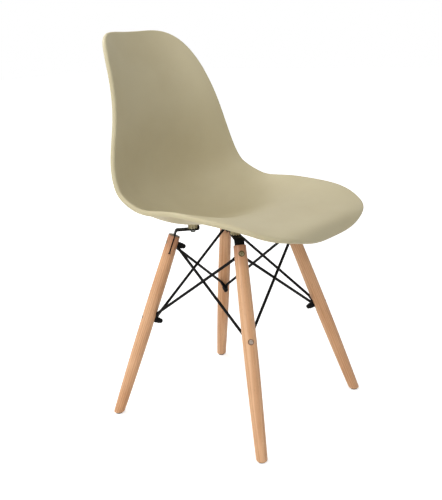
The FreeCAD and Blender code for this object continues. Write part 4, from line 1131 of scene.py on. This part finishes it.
# %% Leg bolts and dome nuts
nut_rows = [(NUT_BORE, NUT_BORE_DEPTH), (NUT_BORE, 0), (NUT_FOOT, 0), (NUT_SIDE, HEX_LOW, "hex"),
            (NUT_SIDE, HEX_HIGH, "hex"), (NUT_SHOULDER, HEX_END), (DOME, HEX_END)]
nut_rows += [(DOME - DOME_ROUND * (1 - math.cos(a)), DOME_START + DOME_ROUND * math.sin(a))
             for a in [math.pi / 2 * k / 8 for k in range(9)]] + [(0, NUT_HEIGHT)]
for place, down, steel in (("upper", UPPER_BOLT, seat_shaded_steel), ("lower", LOWER_BOLT, lower_steel)):
    head_out = leg_radius(down) - HEAD_SINK
    nut_out = leg_radius(down) - SEAT_DEPTH + 3 * STACK_GAP + 2 * EYE_THICKNESS
    length = head_out + nut_out + THREAD_LENGTH
    bolt = turned_piece(place + "_bolt", socket_head(HEAD, HEAD_HEIGHT, HEAD_CHAMFER) + [
        (SHANK, 0), (SHANK, length - (SHANK - SHANK_POINT)), (SHANK_POINT, length), (0, length)])
    marked(bolt, "reach", [math.hypot(v.co.x, v.co.y) / HEAD for v in bolt.data.vertices])
    fit_on_corners(place + "_bolts", bolt, [along_bolt(c, head_out, down) for c in CORNERS],
                   steel, "bolt_steel", place + "_leg_bolts")
    fit_on_corners(place + "_nuts", turned_piece(place + "_nut", nut_rows),
                   [along_bolt(c, -nut_out, down) for c in CORNERS],
                   black_steel, "black_steel", place + "_dome_nuts")

# %% Shell screws and washers
SCREW_HEAD, SCREW_HEAD_HEIGHT, SCREW_CHAMFER = 5.25 * MM, 3.6 * MM, 0.5 * MM
SCREW_TIP, SCREW_TIP_R = 7.5 * MM, 2.5 * MM
WASHER, WASHER_HOLE, WASHER_THICKNESS, WASHER_EDGE = 6.5 * MM, 3.3 * MM, 1.2 * MM, 0.1 * MM
washer_low = -STRIP - WASHER_THICKNESS
head_rows = socket_head(SCREW_HEAD, SCREW_HEAD_HEIGHT, SCREW_CHAMFER)
screw = turned_piece("screw", [(r, z + washer_low, *kind) for r, z, *kind in head_rows] + [
    (SHANK, washer_low), (SHANK, SCREW_TIP - 0.5 * MM), (SCREW_TIP_R, SCREW_TIP), (0, SCREW_TIP)])
fit_on_corners("screws", screw, screw_places, screw_steel, "dark_screw_steel", "shell_screws")
washer = turned_piece("washer", [
    (WASHER_HOLE, washer_low), (WASHER - WASHER_EDGE, washer_low),
    (WASHER, washer_low + WASHER_EDGE), (WASHER, -STRIP - WASHER_EDGE),
    (WASHER - WASHER_EDGE, -STRIP), (WASHER_HOLE, -STRIP), (WASHER_HOLE, washer_low)])
fit_on_corners("washers", washer, screw_places, zinc_steel, "zinc_steel", "shell_washers")

# %% [markdown]
# ## Glides
# Each foot stands on a small moulded disc that keeps the wood off the floor.  It is rounded
# where it meets the floor, and a nail holds it, so its middle is open underneath.

# %% Glide plastic and glides
glide_plastic, tree, shader, place = new_finish("glide_plastic", Specular_IOR_Level=0.35)
tone = placed_group(tree, drifting_tone, Vector=place, Scale=220.0, Light=linear(88, 86, 79),
                    Dark=linear(66, 63, 58))
skin = placed_group(tree, fine_skin, Vector=place, Grain_Size=1800.0, Depth=0.00005, Strength=0.4)
dress(tree, shader, tone.outputs["Color"], skin, tone.outputs["Drift"], 0.7, 0.5)
GLIDE, NAIL_HEAD, NAIL, NAIL_SINK = 8 * MM, 2.55 * MM, 1.05 * MM, 1.5 * MM
glide = turned_piece("glide", [
    (NAIL_HEAD, 0), (GLIDE - 0.8 * MM, 0), (GLIDE - 0.4 * MM, 0.12 * MM),
    (GLIDE - 0.1 * MM, 0.4 * MM), (GLIDE, 0.8 * MM), (GLIDE, GLIDE_THICKNESS),
    (NAIL, GLIDE_THICKNESS), (NAIL, NAIL_SINK), (NAIL_HEAD, NAIL_SINK), (NAIL_HEAD, 0)])
foot_run = GLIDE_THICKNESS * math.tan(SPLAY) - PLAN_RUN
fit_on_corners("foot_glides", glide, [upright_frame(c, foot_run, 0) for c in CORNERS],
               glide_plastic, "glide_plastic", "glides")

# %% [markdown]
# ## Solids that stay
# The brass inserts inside the bosses and the nails inside the glides hardly show.  Their
# solids are right as they are, so they only take a material.

# %% Carried-over solids
for name, finish in (("shell_inserts", brass), ("glide_nails", zinc_steel)):
    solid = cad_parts[name]
    solid.data.materials.clear()
    solid.data.materials.append(finish)
    print(name, "take", finish.name)

# %% [markdown]
# ## Studio
# The picture has a pure white ground and very soft light.  The floor is a pale sheet that the
# camera sees as white, while it still takes the chair's faint shadow.  Six large soft lamps
# stand round the chair.  How strong each one has to be was found by rendering the shell under
# one lamp at a time, and mixing those pictures until the shell shaded as in the photograph:
# most light comes from the left side and from behind, and rather less from the front.


# %% Floor
def seen_directly(tree):
    """1 where the camera looks, also in a mirror or through glass, and 0 for other light."""
    rays = tree.nodes.new("ShaderNodeLightPath")
    seen = reckoned(tree, "MAXIMUM", rays.outputs["Is Camera Ray"], rays.outputs["Is Glossy Ray"])
    return reckoned(tree, "MAXIMUM", seen, rays.outputs["Is Transmission Ray"])


FLOOR_HALF, FLOOR_DROP = 12, 0.0005     # the drop keeps the sheet just under the glides
GLOW_NEAR, GLOW_FAR = 0.7, 2.4          # metres from the chair, between which the glow grows
GLOW_LEAST = 0.62
floor_mesh = bpy.data.meshes.new("floor")
floor_mesh.from_pydata([(x * FLOOR_HALF, y * FLOOR_HALF, 0)
                        for x, y in ((-1, -1), (1, -1), (1, 1), (-1, 1))], [], [(0, 1, 2, 3)])
floor = in_scene("floor", floor_mesh)
floor.location.z = -FLOOR_DROP
floor_paper, tree, paper, place = new_finish("floor_paper", Base_Color=(0.86, 0.86, 0.85, 1),
                                             Roughness=0.9)
away = node(tree, "ShaderNodeVectorMath", {"operation": "LENGTH"}, i0=place)
glow_level = ranged(tree, away.outputs["Value"], GLOW_NEAR, GLOW_FAR, to_low=GLOW_LEAST,
                    smooth=True)
glow = node(tree, "ShaderNodeEmission", Color=(1, 1, 1, 1), Strength=glow_level)
lifted = node(tree, "ShaderNodeAddShader", i0=paper.outputs[0], i1=glow.outputs[0])
choice = node(tree, "ShaderNodeMixShader", i0=seen_directly(tree), i1=paper.outputs[0],
              i2=lifted.outputs[0])
feed(tree, tree.nodes["Material Output"], Surface=choice.outputs[0])
floor_mesh.materials.append(floor_paper)
print("floor:", 2 * FLOOR_HALF, "m wide")

# %% World
WORLD_LIGHT = 0.06
world = bpy.data.worlds.new("studio")
bpy.context.scene.world = world
world.use_nodes = True
tree = world.node_tree
feed(tree, tree.nodes["Background"], Color=(1, 1, 1, 1),
     Strength=ranged(tree, seen_directly(tree), to_low=WORLD_LIGHT))
print("world light on the chair:", WORLD_LIGHT)

# %% Lamps
LAMP_SIZE, LAMP_AIM = 1.6, Vector((0, 0, 0.45))
LAMPS = {                   # place in metres, power in watts
    "left_side": ((-2.35, 0.05, 1.4), 31.5), "rear_left": ((-1.8, 1.45, 2.2), 10),
    "above": ((0, 0, 2.9), 7), "front": ((0, -1.8, 2.2), 16.5), "behind": ((0, 1.9, 2.2), 34),
    "low_front": ((0, -2.4, 0.8), 1.5)}
for name, (stand, power) in LAMPS.items():
    data = bpy.data.lights.new(name, "AREA")
    data.shape, data.size, data.energy = "SQUARE", LAMP_SIZE, power
    look = (LAMP_AIM - Vector(stand)).to_track_quat("-Z", "Y").to_matrix().to_4x4()
    in_scene(name, data).matrix_world = Matrix.Translation(stand) @ look
print("lamps:", list(LAMPS))

# %% Standard view
bpy.context.scene.view_settings.view_transform = "Standard"
